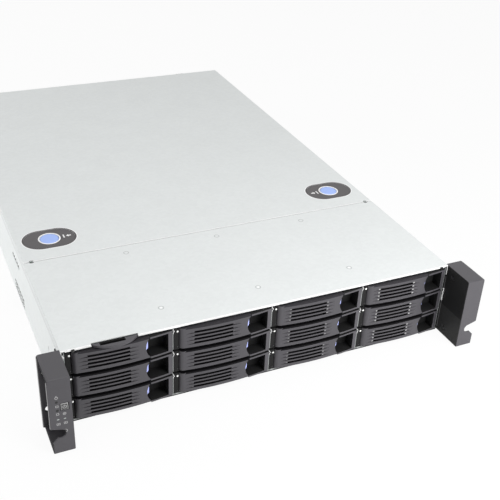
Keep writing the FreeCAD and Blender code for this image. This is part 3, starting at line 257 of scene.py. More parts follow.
class Skin(Nodes):
    """A node material in the making, with object coordinates as its space."""

    def __init__(self, name, colour, rough, metallic=0.0, specular=0.5):
        self.material = bpy.data.materials.new(name)
        self.material.use_nodes = True
        super().__init__(self.material.node_tree)
        self.shader = self.tree.nodes["Principled BSDF"]
        self.inputs = self.shader.inputs
        self.inputs["Base Color"].default_value = (*colour, 1)
        self.inputs["Roughness"].default_value = rough
        self.inputs["Metallic"].default_value = metallic
        self.inputs["Specular IOR Level"].default_value = specular
        self.colour = colour
        self.rough = rough
        self.space = self.node("TexCoord", {}).outputs["Object"]

    def stretched(self, scale):
        """The object's coordinates, multiplied along each axis."""
        made = self.node("Mapping", {"Vector": self.space, "Scale": scale})
        return made.outputs["Vector"]

    def noise(self, scale, detail=3.0, stretch=None):
        space = self.stretched(stretch) if stretch else self.space
        made = self.node("TexNoise", {"Vector": space, "Scale": scale, "Detail": detail})
        return made.outputs["Fac"]

    def cells(self, scale):
        made = self.node("TexVoronoi", {"Vector": self.space, "Scale": scale})
        return made.outputs["Color"]

    def blend(self, factor, first, second):
        """Mixes two colours or sockets by a factor."""
        first, second = ((*paint, 1) if isinstance(paint, tuple) else paint
                         for paint in (first, second))
        made = self.node("Mix", {"Factor": factor, 6: first, 7: second}, data_type="RGBA")
        return made.outputs[2]

    def mottle(self, scale, amount):
        """Lightens and darkens the colour in soft patches."""
        shade = tuple(channel * (1 - amount) for channel in self.colour)
        light = tuple(min(1.0, channel * (1 + amount)) for channel in self.colour)
        self.paint(self.blend(self.noise(scale), shade, light))

    def paint(self, socket):
        self.link(socket, self.inputs["Base Color"])

    def roughen(self, scale, amount):
        self.link(self.spread(self.noise(scale), self.rough - amount, self.rough + amount),
                  self.inputs["Roughness"])

    def grained(self, patches, unevenness, grain, strength, depth, edge):
        """Uneven roughness, a fine grain and rounded edges; gives the finished material."""
        self.roughen(patches, unevenness)
        self.bump(self.noise(grain, 2.0), strength, depth, edge)
        return self.material

    def dull(self, mask):
        """Takes the shine off where the mask is 1, so that black stays black."""
        shine = self.inputs["Specular IOR Level"]
        self.link(self.spread(mask, shine.default_value, DULL_SHINE), shine)

    def split(self, socket):
        """The X, Y and Z of a vector."""
        return self.node("SeparateXYZ", {"Vector": socket}).outputs

    def facing(self, axis, sign, limit=0.7):
        """1 where the surface faces along an axis, in that direction."""
        share = self.split(self.node("NewGeometry", {}).outputs["Normal"])[axis]
        return self.maths("GREATER_THAN", self.maths("MULTIPLY", share, sign), limit)

    def place(self, axis):
        """The object's own X, Y or Z, in metres."""
        return self.split(self.space)[axis]

    def beyond(self, axis, level):
        """1 where the place along an axis is past a level."""
        return self.maths("GREATER_THAN", self.place(axis), level)

    def short_of(self, axis, level):
        """1 where the place along an axis is short of a level."""
        return self.apart(self.beyond(axis, level))

    def either(self, *masks):
        """1 where any of the masks is."""
        joined = masks[0]
        for mask in masks[1:]:
            joined = self.maths("MAXIMUM", joined, mask)
        return joined

    def both(self, *masks):
        """1 where all of the masks are."""
        joined = masks[0]
        for mask in masks[1:]:
            joined = self.maths("MULTIPLY", joined, mask)
        return joined

    def apart(self, mask):
        """1 where the mask is 0."""
        return self.maths("SUBTRACT", 1.0, mask)

    def plane(self, axis):
        """Places in millimetres with one axis left out, for marks on a flat face."""
        scale = tuple(0.0 if number == axis else 1.0 / MM for number in range(3))
        return self.vector("MULTIPLY", self.space, scale)

    def dot(self, plane, centre, radius):
        """1 inside a round mark."""
        away = self.vector("DISTANCE", plane, centre, output="Value")
        return self.maths("LESS_THAN", away, radius)

    def loop(self, plane, centre, radius, line):
        """1 on a ring of that radius and line width."""
        away = self.vector("DISTANCE", plane, centre, output="Value")
        off = self.maths("ABSOLUTE", self.maths("SUBTRACT", away, radius))
        return self.maths("LESS_THAN", off, line / 2)

    def bar(self, plane, centre, half):
        """1 inside a rectangular mark; half holds its half lengths, 1 along the axis left out."""
        away = self.vector("ABSOLUTE", self.vector("SUBTRACT", plane, centre))
        across, along, up = self.split(self.vector("DIVIDE", away, half))
        most = self.maths("MAXIMUM", self.maths("MAXIMUM", across, along), up)
        return self.maths("LESS_THAN", most, 1.0)

    def row(self, plane, axis, step):
        """Places with one axis folded, so that a mark at its middle repeats at each step."""
        high = tuple(step / 2 if number == axis else ENDLESS for number in range(3))
        low = tuple(-length for length in high)
        return self.vector("WRAP", plane, high, low)

    def stadium(self, plane, centre, straight, radius):
        """1 inside a stadium that lies along X: half its straight length, and its end radius."""
        away = self.vector("ABSOLUTE", self.vector("SUBTRACT", plane, centre))
        past = self.vector("SUBTRACT", away, (straight, 0.0, 0.0))
        past = self.vector("MAXIMUM", past, (0.0, 0.0, 0.0))
        return self.maths("LESS_THAN", self.vector("LENGTH", past, output="Value"), radius)

    def frame(self, plane, centre, half, line):
        """1 on the outline of a rectangle."""
        inner = tuple(length - line if length != 1.0 else 1.0 for length in half)
        return self.both(self.bar(plane, centre, half), self.apart(self.bar(plane, centre, inner)))

    def bump(self, source, strength, distance, edge=0.0):
        """Raises the surface by a texture, over edges that catch light like rounded ones."""
        height = {"Height": source, "Strength": strength, "Distance": distance * MM}
        made = self.node("Bump", height)
        if edge:
            rounding = self.node("Bevel", {"Radius": edge * MM}, samples=4)
            self.link(rounding.outputs["Normal"], made.inputs["Normal"])
        self.link(made.outputs["Normal"], self.inputs["Normal"])


# ---- paints

def grey(level, warmth=0.0):
    """A grey of that linear level; warmth tips it from blue to yellow."""
    return (level * (1 + warmth), level, level * (1 - warmth))


def zinc(level):
    """The faintly green-blue grey of zinc plating."""
    return (level * 0.972, level * 1.004, level * 1.0)


def slate(level):
    """The violet-tinged dark grey of the front's paint and plastic."""
    return (level * 1.02, level * 0.97, level * 1.09)


COVER_LEVEL = 0.765
EAR_LEVEL = 0.060
SUPPLY_LEVEL = 0.60
# Painted highlight on the ears' outer edges, where the sheet's edge catches light.
EAR_EDGE_HIGHLIGHT = grey(0.34)
INK = grey(0.38)
LAMP_LENS = (0.46, 0.50, 0.48)
# Dark discs for the ear's pin holes, painted as the shade inside them.
PIN_HOLE = grey(0.006)
# Painted shade on the pull tag's hidden faces.
PITCH = grey(0.008)
OPENING = grey(0.012)
OVAL_LINE = grey(0.95)
# Painted highlight along the covers' front edge and the edge at the seam.
COVER_EDGE_HIGHLIGHT = grey(0.97)
BEZEL_GREY = (0.076, 0.071, 0.073)


# ---- marks on the plated sheets

FLANGE_FOOT = 76.5
SEAM_MIDDLE, SEAM_HOLE, SEAM_RIM = 166.5, 210.5, 2.9
SEAM_FROM, SEAM_PAST = 165.5, 167.6
FOLD = 0.9
OVAL_STRAIGHT, OVAL_RADIUS, OVAL_GROW = 9.5, 21.3, 0.9
RIVET_NEAR, RIVET_FAR = 35.0, 150.0
RIVET_RING, RIVET_LINE, RIVET_HEAD = 2.7, 0.9, 1.3
EDGE_DEEP = 1.0


def flange_foot(skin):
    """The shaded lower edge of a cover's side flange."""
    low = skin.short_of(Z, FLANGE_FOOT * MM)
    return skin.both(low, skin.apart(skin.facing(Z, 1)))


def seam_ends(skin):
    """The shaded rims of the two finger holes at the ends of the seam."""
    top = skin.plane(Z)
    seam = front_mm + SEAM_MIDDLE
    holes = [skin.dot(top, (x, seam, 0.0), SEAM_RIM) for x in (-SEAM_HOLE, SEAM_HOLE)]
    return skin.both(skin.either(*holes), skin.facing(Z, 1))


def latch_oval(skin, grow=0.0):
    """The dark oval round each cover button, painted a little past its recess."""
    top = skin.plane(Z)
    ovals = []
    for side in ("left", "right"):
        button = middle("cover_button_" + side) / MM
        ovals.append(skin.stadium(top, (button.x, button.y, 0.0), OVAL_STRAIGHT,
                                  OVAL_RADIUS + grow))
    return skin.both(skin.either(*ovals), skin.facing(Z, 1))


def latch_outline(skin):
    """The thin pale line round each oval, before the oval covers its middle."""
    return latch_oval(skin, grow=OVAL_GROW)


def rear_cover_edge_highlight(skin):
    """The rear cover's edge at the seam, which gets a painted highlight."""
    return skin.short_of(Y, front + SEAM_PAST * MM)


def front_cover_edge_highlight(skin):
    """The front cover's folded front edge, which gets a painted highlight."""
    return skin.short_of(Y, front + FOLD * MM)


def rivets():
    """Where the flush rivets of the front cover are, in millimetres, the rear row first."""
    near, far = front_mm + RIVET_NEAR, front_mm + RIVET_FAR
    return ((-109.0, far), (0.0, far), (110.0, far), (-108.0, near), (0.0, near), (111.0, near))


def rivet_rings_and_seam_shade(skin):
    """The ring round each rivet, and painted shade along the seam."""
    top = skin.plane(Z)
    rings = [skin.loop(top, (x, y, 0.0), RIVET_RING, RIVET_LINE) for x, y in rivets()]
    seam = skin.beyond(Y, front + SEAM_FROM * MM)
    return skin.both(skin.either(seam, *rings), skin.facing(Z, 1))


def rivet_heads(skin):
    """The bright heads of the front row of rivets."""
    top = skin.plane(Z)
    heads = [skin.dot(top, (x, y, 0.0), RIVET_HEAD) for x, y in rivets()[3:]]
    return skin.both(skin.either(*heads), skin.facing(Z, 1))


def vent_rims(skin):
    """The shaded rims of the vents in the side walls: a row of holes over rows of slots."""
    side = skin.plane(X)
    from_high = skin.vector("SUBTRACT", side, (0.0, front_mm + 214.0, 54.0))
    high = skin.dot(skin.row(from_high, Y, 8.0), (0.0, 0.0, 0.0), 3.0)
    high_band = skin.bar(side, (0.0, front_mm + 230.0, 54.0), (1.0, 20.0, 4.0))
    from_low = skin.vector("SUBTRACT", side, (0.0, front_mm + 204.2, 9.9))
    slots = skin.row(skin.row(from_low, Y, 9.0), Z, 5.2)
    low = skin.bar(slots, (0.0, 0.0, 0.0), (1.0, 3.3, 1.6))
    low_band = skin.bar(side, (0.0, front_mm + 226.7, 9.9), (1.0, 27.0, 7.8))
    return skin.either(skin.both(high, high_band), skin.both(low, low_band))


def case_shade(skin):
    """The front edges round the drive bays and the rims of the vents, painted dark as shade."""
    at_front = skin.short_of(Y, front + EDGE_DEEP * MM)
    edges = skin.both(skin.facing(Y, -1), at_front)
    return skin.either(edges, skin.both(vent_rims(skin), skin.apart(skin.facing(Z, 1))))


def spangled(skin, level):
    """The colour of zinc plating: soft clouds and small crystals."""
    shade = skin.blend(skin.noise(22.0, 4.0), zinc(level * 0.97), zinc(level * 1.03))
    flecks = skin.node("SeparateColor", {"Color": skin.cells(260.0)})
    tone = skin.spread(flecks.outputs["Red"], 0.98, 1.012)
    toned = skin.node("VectorMath", {0: shade, "Scale": tone}, operation="SCALE")
    return toned.outputs["Vector"]


def plated_sheet(name, level, marks=(), dark=None):
    """Zinc-plated sheet: faint spangle, fine rolled grain. Each mark is a mask and a paint."""
    skin = Skin(name, zinc(level), 0.46, metallic=0.25, specular=0.4)
    colour = spangled(skin, level)
    for mask, paint in marks:
        colour = skin.blend(mask(skin), colour, paint)
    # A dark mask paints shade: near-black with the shine taken off.
    if dark:
        hidden = dark(skin)
        colour = skin.blend(hidden, colour, OPENING)
        skin.dull(hidden)
    skin.paint(colour)
    skin.roughen(60.0, 0.07)
    skin.bump(skin.noise(1400.0, 2.0, (1.0, 0.25, 1.0)), 0.18, 0.05, edge=0.25)
    return skin.material


# ---- marks on the left ear
# Each is placed by its distance right of the first column of marks and its height, in millimetres.

MARKS_IN = 8.2
RING_RADIUS, RING_LINE, FRAME_LINE = 1.3, 0.55, 0.5
EAR_RINGS = ((0.0, 66.6), (6.3, 46.6))
EAR_FRAMES = ((0.0, 56.6, 1.4, 1.2), (0.0, 47.4, 1.3, 1.3), (0.0, 35.4, 1.7, 1.3),
              (6.7, 35.5, 1.7, 1.3))
EAR_BARS = ((0.0, 68.2, 0.35, 0.9), (6.7, 35.5, 0.3, 1.2))
EAR_DOTS = ((6.3, 46.6, 0.5), (0.0, 35.4, 0.5))
EAR_LAMPS = ((0.0, 41.0, 1.0, 0.45), (6.3, 40.8, 1.0, 0.45))
# The pin holes are painted as dark discs: painted shade.
EAR_HOLES = ((-0.2, 61.6, 1.35), (0.0, 51.7, 1.35), (5.7, 25.7, 1.0))
CURL_RIGHT, CURL_HIGH, CURL_RADIUS = 5.7, 25.7, 1.9
# How far in from the outer edge the ears' painted edge highlight reaches.
EAR_HIGHLIGHT_DEEP = 0.6
# Inside the ear, the black paint is painted darker above this height as shade and lighter below it
# as reflected light.
HOLLOW_STEP = 37.0


def ear_marks(skin):
    """Each group of marks on the ear's front face as a mask, with its paint."""
    face = skin.plane(Y)
    left = -ear_out / MM + MARKS_IN

    def dots(group):
        return [skin.dot(face, (left + x, 0.0, z), radius) for x, z, radius in group]

    def bars(group):
        return [skin.bar(face, (left + x, 0.0, z), (wide, 1.0, high))
                for x, z, wide, high in group]

    rings = [skin.loop(face, (left + x, 0.0, z), RING_RADIUS, RING_LINE) for x, z in EAR_RINGS]
    frames = [skin.frame(face, (left + x, 0.0, z), (wide, 1.0, high), FRAME_LINE)
              for x, z, wide, high in EAR_FRAMES]
    symbols = skin.either(*rings, *frames, *bars(EAR_BARS), *dots(EAR_DOTS))
    curl = skin.both(skin.loop(face, (left + CURL_RIGHT, 0.0, CURL_HIGH), CURL_RADIUS, RING_LINE),
                     skin.beyond(X, (left + CURL_RIGHT + 0.2) * MM))
    return ((symbols, INK), (skin.either(*bars(EAR_LAMPS)), LAMP_LENS),
            (skin.either(*dots(EAR_HOLES)), PIN_HOLE), (curl, INK))


def powder_coat(name, level):
    """Fine-textured dark paint, black inside; painted shade on the top, painted shade and
    reflected light inside, a painted highlight on the outer edges; small pale prints.
    """
    skin = Skin(name, slate(level), 0.42, specular=0.55)
    colour = skin.blend(skin.noise(35.0), slate(level * 0.90), slate(level * 1.10))
    # The top faces are painted darker: painted shade.
    colour = skin.blend(skin.facing(Z, 1), colour, slate(level * 0.84))
    aside = skin.either(skin.facing(X, 1), skin.facing(X, -1))
    away = skin.maths("ABSOLUTE", skin.place(X))
    out = skin.maths("GREATER_THAN", away, ear_out - EAR_HIGHLIGHT_DEEP * MM)
    inner = skin.both(aside, skin.apart(out))
    # Inside the ear the paint is black, painted darker above HOLLOW_STEP as shade and lighter
    # below it as reflected light.
    hollow = skin.blend(skin.beyond(Z, HOLLOW_STEP * MM), grey(0.036), grey(0.018))
    colour = skin.blend(inner, colour, hollow)
    skin.dull(inner)
    # The outer edges are painted pale: a painted highlight.
    colour = skin.blend(skin.both(aside, out), colour, EAR_EDGE_HIGHLIGHT)
    ahead = skin.facing(Y, -1)
    for mask, paint in ear_marks(skin):
        colour = skin.blend(skin.both(mask, ahead), colour, paint)
    skin.paint(colour)
    return skin.grained(90.0, 0.06, 2600.0, 0.35, 0.04, 0.6)


def power_cap(name):
    """The power button: dark, with a pale frame and a power symbol on its face."""
    skin = Skin(name, grey(0.055, -0.03), 0.42)
    centre = middle("power_button") / MM
    x, z = centre.x, centre.z
    face = skin.plane(Y)
    ring = skin.loop(face, (x, 0.0, z), 1.7, 0.5)
    gap = skin.bar(face, (x, 0.0, z + 1.7), (0.75, 1.0, 0.9))
    stroke = skin.bar(face, (x, 0.0, z + 1.2), (0.26, 1.0, 1.2))
    border = skin.frame(face, (x, 0.0, z), (3.4, 1.0, 3.8), 0.55)
    symbol = skin.either(skin.both(ring, skin.apart(gap)), stroke, border)
    marks = skin.both(symbol, skin.facing(Y, -1))
    shade = skin.blend(skin.noise(50.0), grey(0.050), grey(0.060))
    skin.paint(skin.blend(marks, shade, grey(0.42)))
    return skin.grained(110.0, 0.05, 3000.0, 0.25, 0.03, 0.3)


# ---- plastics

def moulded(name, colour, rough, grain=0.25):
    """Moulded plastic: an even colour with a fine spark-eroded grain."""
    skin = Skin(name, colour, rough)
    skin.mottle(48.0, 0.06)
    return skin.grained(120.0, 0.05, 3200.0, grain, 0.03, 0.35)


SLOTS_MIDDLE, SLOT_END, SLOT_TIP = 41.25, 19.6, 22.6
SLOT_PITCH, SLOT_HALF, SLOTS_HALF = 4.4, 1.0, 8.2


def across_tray(skin):
    """How far a place is to the right of its tray's left edge."""
    along = skin.maths("SUBTRACT", skin.place(X), tray_left)
    return skin.maths("FLOORED_MODULO", along, tray_pitch)


def slot_end_glints(skin):
    """Where the scooped ends of the lever's four slots get a painted highlight, stronger toward
    the right.
    """
    first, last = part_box("drive_tray_09"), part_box("drive_tray_01")
    off = skin.maths("SUBTRACT", across_tray(skin), SLOTS_MIDDLE * MM)
    off = skin.maths("ABSOLUTE", off)
    ends = skin.both(skin.maths("GREATER_THAN", off, SLOT_END * MM),
                     skin.maths("LESS_THAN", off, SLOT_TIP * MM))
    rise = (last[0].z - first[0].z) / (ROWS - 1)
    centre = (first[0].z + first[1].z) / 2 + 0.2 * MM
    up = skin.maths("SUBTRACT", skin.place(Z), centre - rise / 2)
    up = skin.maths("SUBTRACT", skin.maths("FLOORED_MODULO", up, rise), rise / 2)
    near = skin.maths("LESS_THAN", skin.maths("ABSOLUTE", up), SLOTS_HALF * MM)
    lane = skin.maths("ADD", up, 2 * SLOT_PITCH * MM)
    lane = skin.maths("FLOORED_MODULO", lane, SLOT_PITCH * MM)
    lane = skin.maths("ABSOLUTE", skin.maths("SUBTRACT", lane, SLOT_PITCH / 2 * MM))
    lanes = skin.both(near, skin.maths("LESS_THAN", lane, SLOT_HALF * MM))
    shine = skin.maths("MULTIPLY", skin.maths("ADD", skin.place(X), 0.05), 4.2)
    shine = skin.maths("MINIMUM", skin.maths("MAXIMUM", shine, 0.05), 1.0)
    return skin.both(ends, lanes, shine)


def lever_plastic(name, level):
    """The lever's front in fine-grained grey; its lips, slots and inside painted black as shade,
    and the slot ends given a painted highlight.
    """
    skin = Skin(name, slate(level), 0.42)
    cloud = skin.blend(skin.noise(48.0), slate(level * 0.94), slate(level * 1.06))
    # Faces that look up, down or back are painted near-black as shade; below the top row they are
    # painted darker still, as the shade of the lever above.
    hidden = skin.either(skin.facing(Z, 1, 0.3), skin.facing(Z, -1, 0.3), skin.facing(Y, 1, 0.3))
    top_row = skin.beyond(Z, lid_top - 7.0 * MM)
    shade = skin.blend(top_row, slate(0.008), slate(0.030))
    colour = skin.blend(hidden, cloud, shade)
    skin.dull(hidden)
    # The slot ends get a painted highlight.
    skin.paint(skin.blend(skin.both(slot_end_glints(skin), skin.apart(hidden)), colour, grey(0.42)))
    return skin.grained(120.0, 0.05, 3200.0, 0.25, 0.03, 0.35)


def tag_plastic(name, level):
    """The pull tag's grip; what lies lower than its rim, behind it and in its thumb slot is
    painted black as shade.
    """
    skin = Skin(name, slate(level), 0.42)
    cloud = skin.blend(skin.noise(60.0), slate(level * 0.94), slate(level * 1.06))
    lower = skin.both(skin.facing(Z, 1), skin.short_of(Z, lid_top - 0.6 * MM))
    rear = skin.beyond(Y, front + 1.2 * MM)
    middle_x = middle("pull_tag").x / MM
    slot = skin.bar(skin.plane(Z), (middle_x - 2.8, front_mm - 0.2, 0.0), (12.6, 3.5, 1.0))
    # Lower, rear and slot faces are painted black and dulled as shade.
    hidden = skin.either(lower, rear, slot)
    skin.paint(skin.blend(hidden, cloud, PITCH))
    skin.dull(hidden)
    return skin.grained(120.0, 0.05, 3000.0, 0.25, 0.03, 0.35)


STILE_WIDE = 6.4
DRIVE_FROM, DRIVE_LEFT, DRIVE_RIGHT = 14.5, 2.2, 103.6


def tray_and_drive(name):
    """Grey front frame, the pocket and stile painted near-black as shade, and a bare casting where
    the drive lies.
    """
    skin = Skin(name, grey(0.05), 0.45)
    along = across_tray(skin)
    stile = skin.maths("LESS_THAN", along, STILE_WIDE * MM)
    ahead = skin.short_of(Y, front - 0.3 * MM)
    frame_front = skin.both(ahead, skin.facing(Y, -1))
    frame_front = skin.both(frame_front, skin.apart(stile))
    behind = skin.beyond(Y, front + DRIVE_FROM * MM)
    inside = skin.both(skin.maths("GREATER_THAN", along, DRIVE_LEFT * MM),
                       skin.maths("LESS_THAN", along, DRIVE_RIGHT * MM))
    drive = skin.both(behind, inside)
    shell = skin.both(behind, skin.apart(drive))
    paint = skin.blend(skin.noise(50.0), slate(0.064), slate(0.076))
    # At the front, all but the frame's face is painted near-black as shade.
    plain = skin.blend(frame_front, grey(0.020), paint)
    plain = skin.blend(shell, plain, grey(0.20))
    casting = skin.blend(skin.noise(90.0), grey(0.30), grey(0.42))
    skin.paint(skin.blend(drive, plain, casting))
    skin.link(skin.maths("MULTIPLY", drive, 0.9), skin.inputs["Metallic"])
    skin.dull(skin.both(skin.apart(behind), skin.apart(frame_front)))
    return skin.grained(120.0, 0.06, 2400.0, 0.25, 0.03, 0.3)


def fan_wall(name):
    """Black fan housings in front of a plated wall."""
    skin = Skin(name, grey(0.02), 0.5)
    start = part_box("fan_frames")[0].y + 3.0 * MM
    wall = skin.short_of(Y, start)
    housing = skin.blend(skin.noise(60.0), grey(0.018), grey(0.024))
    skin.paint(skin.blend(wall, housing, grey(0.5)))
    return skin.grained(90.0, 0.05, 2600.0, 0.25, 0.03, 0.3)


def glow(name, colour, strength):
    """A lamp behind a milky lens."""
    skin = Skin(name, colour, 0.25)
    skin.mottle(300.0, 0.05)
    skin.inputs["Emission Color"].default_value = (*colour, 1)
    skin.inputs["Emission Strength"].default_value = strength
    skin.bump(skin.noise(900.0), 0.1, 0.02)
    return skin.material


# ---- metals

def bright_metal(name, level, rough):
    """Plain machined or cast metal."""
    skin = Skin(name, grey(level), rough, metallic=1.0)
    skin.mottle(70.0, 0.08)
    skin.roughen(140.0, 0.06)
    skin.bump(skin.noise(900.0, 3.0), 0.2, 0.03, edge=0.2)
    return skin.material


def gilt(name):
    """Gold-plated contacts."""
    skin = Skin(name, (0.80, 0.55, 0.20), 0.3, metallic=1.0)
    skin.mottle(200.0, 0.06)
    return skin.material


def grille_floor(skin):
    """The floor of the supply's grille slots and inlet, behind its rear face, painted dark as
    shade.
    """
    behind = skin.short_of(Y, back - 0.4 * MM)
    return skin.both(skin.facing(Y, 1), behind, skin.beyond(Y, back - 17.0 * MM))


def supply_shell(name):
    """The power supply: plated shell, black handle, grille painted dark as shade."""
    skin = Skin(name, zinc(SUPPLY_LEVEL), 0.42, metallic=0.4, specular=0.4)
    colour = spangled(skin, SUPPLY_LEVEL)
    handle = skin.beyond(Y, back + 0.3 * MM)
    hidden = grille_floor(skin)
    colour = skin.blend(skin.either(handle, hidden), colour, grey(0.014))
    skin.dull(hidden)
    skin.paint(colour)
    return skin.grained(70.0, 0.07, 1500.0, 0.2, 0.04, 0.3)


# ---- circuit boards

def circuit_board(name, metal=None, plastic=None):
    """Solder mask with copper traces; masks say where metal shells and black plastic are."""
    skin = Skin(name, (0.012, 0.075, 0.035), 0.38)
    traces = skin.node("TexBrick", {"Vector": skin.space, "Scale": 180.0, "Mortar Size": 0.08})
    colour = skin.blend(traces.outputs["Fac"], skin.colour, (0.03, 0.13, 0.06))
    if plastic:
        colour = skin.blend(plastic(skin), colour, grey(0.016))
    if metal:
        mask = metal(skin)
        colour = skin.blend(mask, colour, grey(0.62))
        skin.link(skin.maths("MULTIPLY", mask, 0.8), skin.inputs["Metallic"])
    skin.paint(colour)
    skin.roughen(200.0, 0.08)
    skin.bump(traces.outputs["Fac"], 0.2, 0.05)
    return skin.material


def rear_shells(skin):
    """The metal shells of the sockets at the mainboard's rear edge."""
    return skin.beyond(Y, back - 25.0 * MM)


def board_parts(skin):
    """Everything that stands on the mainboard."""
    return skin.either(skin.beyond(Z, 10.0 * MM), skin.short_of(Z, 8.0 * MM))


def plane_sockets(skin):
    """The sockets on the front of the backplane."""
    return skin.short_of(Y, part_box("backplane")[1].y - 2.6 * MM)


def card_brackets(skin):
    """The slot brackets at the rear end of the cards."""
    return skin.beyond(Y, back - 3.2 * MM)


# ---- the materials

LID = plated_sheet("lid_sheet", COVER_LEVEL, marks=(
    (flange_foot, zinc(COVER_LEVEL * 0.8)), (seam_ends, grey(0.05)),
    (latch_outline, OVAL_LINE), (latch_oval, BEZEL_GREY), (rear_cover_edge_highlight, COVER_EDGE_HIGHLIGHT)))
FRONT_LID = plated_sheet("front_lid_sheet", COVER_LEVEL, marks=(
    (flange_foot, zinc(COVER_LEVEL * 0.8)), (seam_ends, grey(0.05)),
    (rivet_rings_and_seam_shade, zinc(COVER_LEVEL * 0.66)), (rivet_heads, OVAL_LINE),
    (front_cover_edge_highlight, COVER_EDGE_HIGHLIGHT)))
CASE = plated_sheet("case_sheet", 0.84, dark=case_shade)
PANEL = plated_sheet("panel_sheet", 0.70)
# The cage's plating is painted much darker than the covers', as shade between the trays.
CAGE = plated_sheet("cage_sheet", 0.27)
EAR = powder_coat("ear_paint", EAR_LEVEL)
LEVER = lever_plastic("lever_plastic", 0.060)
TRAY = tray_and_drive("tray_and_drive")
BLUE = moulded("latch_blue", (0.42, 0.47, 0.88), 0.3, grain=0.12)
PALE_BLUE = moulded("button_blue", (0.38, 0.52, 0.96), 0.45, grain=0.12)
BEZEL = moulded("bezel_plastic", BEZEL_GREY, 0.5, grain=0.3)
RING = moulded("ring_plastic", grey(0.95), 0.4, grain=0.1)
BLACK = moulded("black_plastic", OPENING, 0.45)
TAG = tag_plastic("tag_plastic", 0.062)
PRINT = moulded("pale_print", grey(0.85), 0.6, grain=0.1)
PAPER = moulded("label_paper", grey(0.70), 0.7, grain=0.1)
BOARD = circuit_board("board_mask")
MAIN = circuit_board("mainboard_mask", metal=rear_shells, plastic=board_parts)
PLANE = circuit_board("backplane_mask", plastic=plane_sockets)
CARD = circuit_board("card_mask", metal=card_brackets)
ALUMINIUM = bright_metal("bare_aluminium", 0.80, 0.35)
SCREW = bright_metal("screw_steel", 0.45, 0.32)
STEEL = bright_metal("bright_steel", 0.80, 0.3)
SPRING = moulded("plated_spring", grey(0.70), 0.35, grain=0.1)
ROTOR = moulded("rotor_plastic", grey(0.022), 0.4)
GOLD = gilt("contact_gold")
DARK_SCREW = bright_metal("dark_screw", 0.06, 0.4)
SUPPLY = supply_shell("supply_sheet")
FAN = fan_wall("fan_plastic")
PIPE = glow("light_pipe", (0.85, 0.86, 0.84), 0.15)
GREEN = glow("green_lamp", (0.15, 0.75, 0.25), 0.6)

NODE_SKINS = {
    "chassis_base": CASE, "front_cover": FRONT_LID, "rear_cover": LID, "drive_cage": CAGE,
    "backplane": PLANE, "mainboard": MAIN, "cpu_heatsinks": ALUMINIUM, "memory_modules": BOARD,
    "expansion_cards": CARD, "rear_panel": PANEL, "fasteners": DARK_SCREW, "left_ear": EAR,
    "right_ear": EAR, "power_button": power_cap("power_cap"), "pull_tag": TAG,
    "cover_button_left": PALE_BLUE, "cover_button_right": PALE_BLUE, "psu_1": SUPPLY,
    "psu_2": SUPPLY, "fan_frames": FAN,
}
FAMILY_SKINS = {"drive_tray": TRAY, "tray_lever": LEVER, "tray_latch": BLUE, "fan_rotor": ROTOR}
EAR_ROUND, EAR_STEPS, EAR_OVER = 0.9, 3, 70
EAR_WELD = 0.02


def skin_of(name):
    """The material of a CAD node."""
    for family, skin in FAMILY_SKINS.items():
        if name.startswith(family):
            return skin
    return NODE_SKINS[name]


def dress_nodes():
    """Gives every CAD node its material, and rounds the edges of the two ears."""
    for name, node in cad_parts.items():
        node.data.materials.clear()
        node.data.materials.append(skin_of(name))
    for name in ("left_ear", "right_ear"):
        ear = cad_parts[name]
        ear.modifiers.new("weld", "WELD").merge_threshold = EAR_WELD * MM
        edges = add_bevel(ear, EAR_ROUND, EAR_STEPS)
        edges.use_clamp_overlap = False
        edges.loop_slide = False
        edges.angle_limit = math.radians(EAR_OVER)


# ---- pieces on the covers and the front

HEAD_STEPS = 48


def screw_head(part, x, y, radius, level, high, facing=1):
    """A pan head with a cross recess, its top at level, facing along the part's axis."""
    rim = circle(x, y, radius, HEAD_STEPS)
    crown = circle(x, y, radius * 0.72, HEAD_STEPS)
    cross = ray_loop(cross_reach(radius * 0.62, radius * 0.13), x, y, HEAD_STEPS)
    foot = level - high * facing
    rows = [(rim, foot), (rim, level - high * 0.45 * facing), (crown, level), (cross, level),
            (cross, level - high * 0.6 * facing)]
    rings = [part.ring(loop, at) for loop, at in rows]
    for lower, upper in zip(rings, rings[1:]):
        part.band(lower, upper)
    part.mesh.faces.new(rings[0])
    part.mesh.faces.new(rings[-1])


BEZEL_LONG, BEZEL_HALF, BEZEL_HOLE = 28.9, 19.9, 12.8
BEZEL_LOW, BEZEL_HIGH = 0.45, 0.12
RING_OUT, RING_IN, RING_DEEP = 12.7, 10.95, 0.5
ICON_LOW, ICON_HIGH = 0.13, 0.05
BAR_IN, BAR_THICK, BAR_HALF = 16.4, 0.8, 3.6
ARROW_FROM, ARROW_TO, ARROW_HEAD, ARROW_HALF, ARROW_STEM = 2.6, 8.4, 2.8, 2.8, 1.1


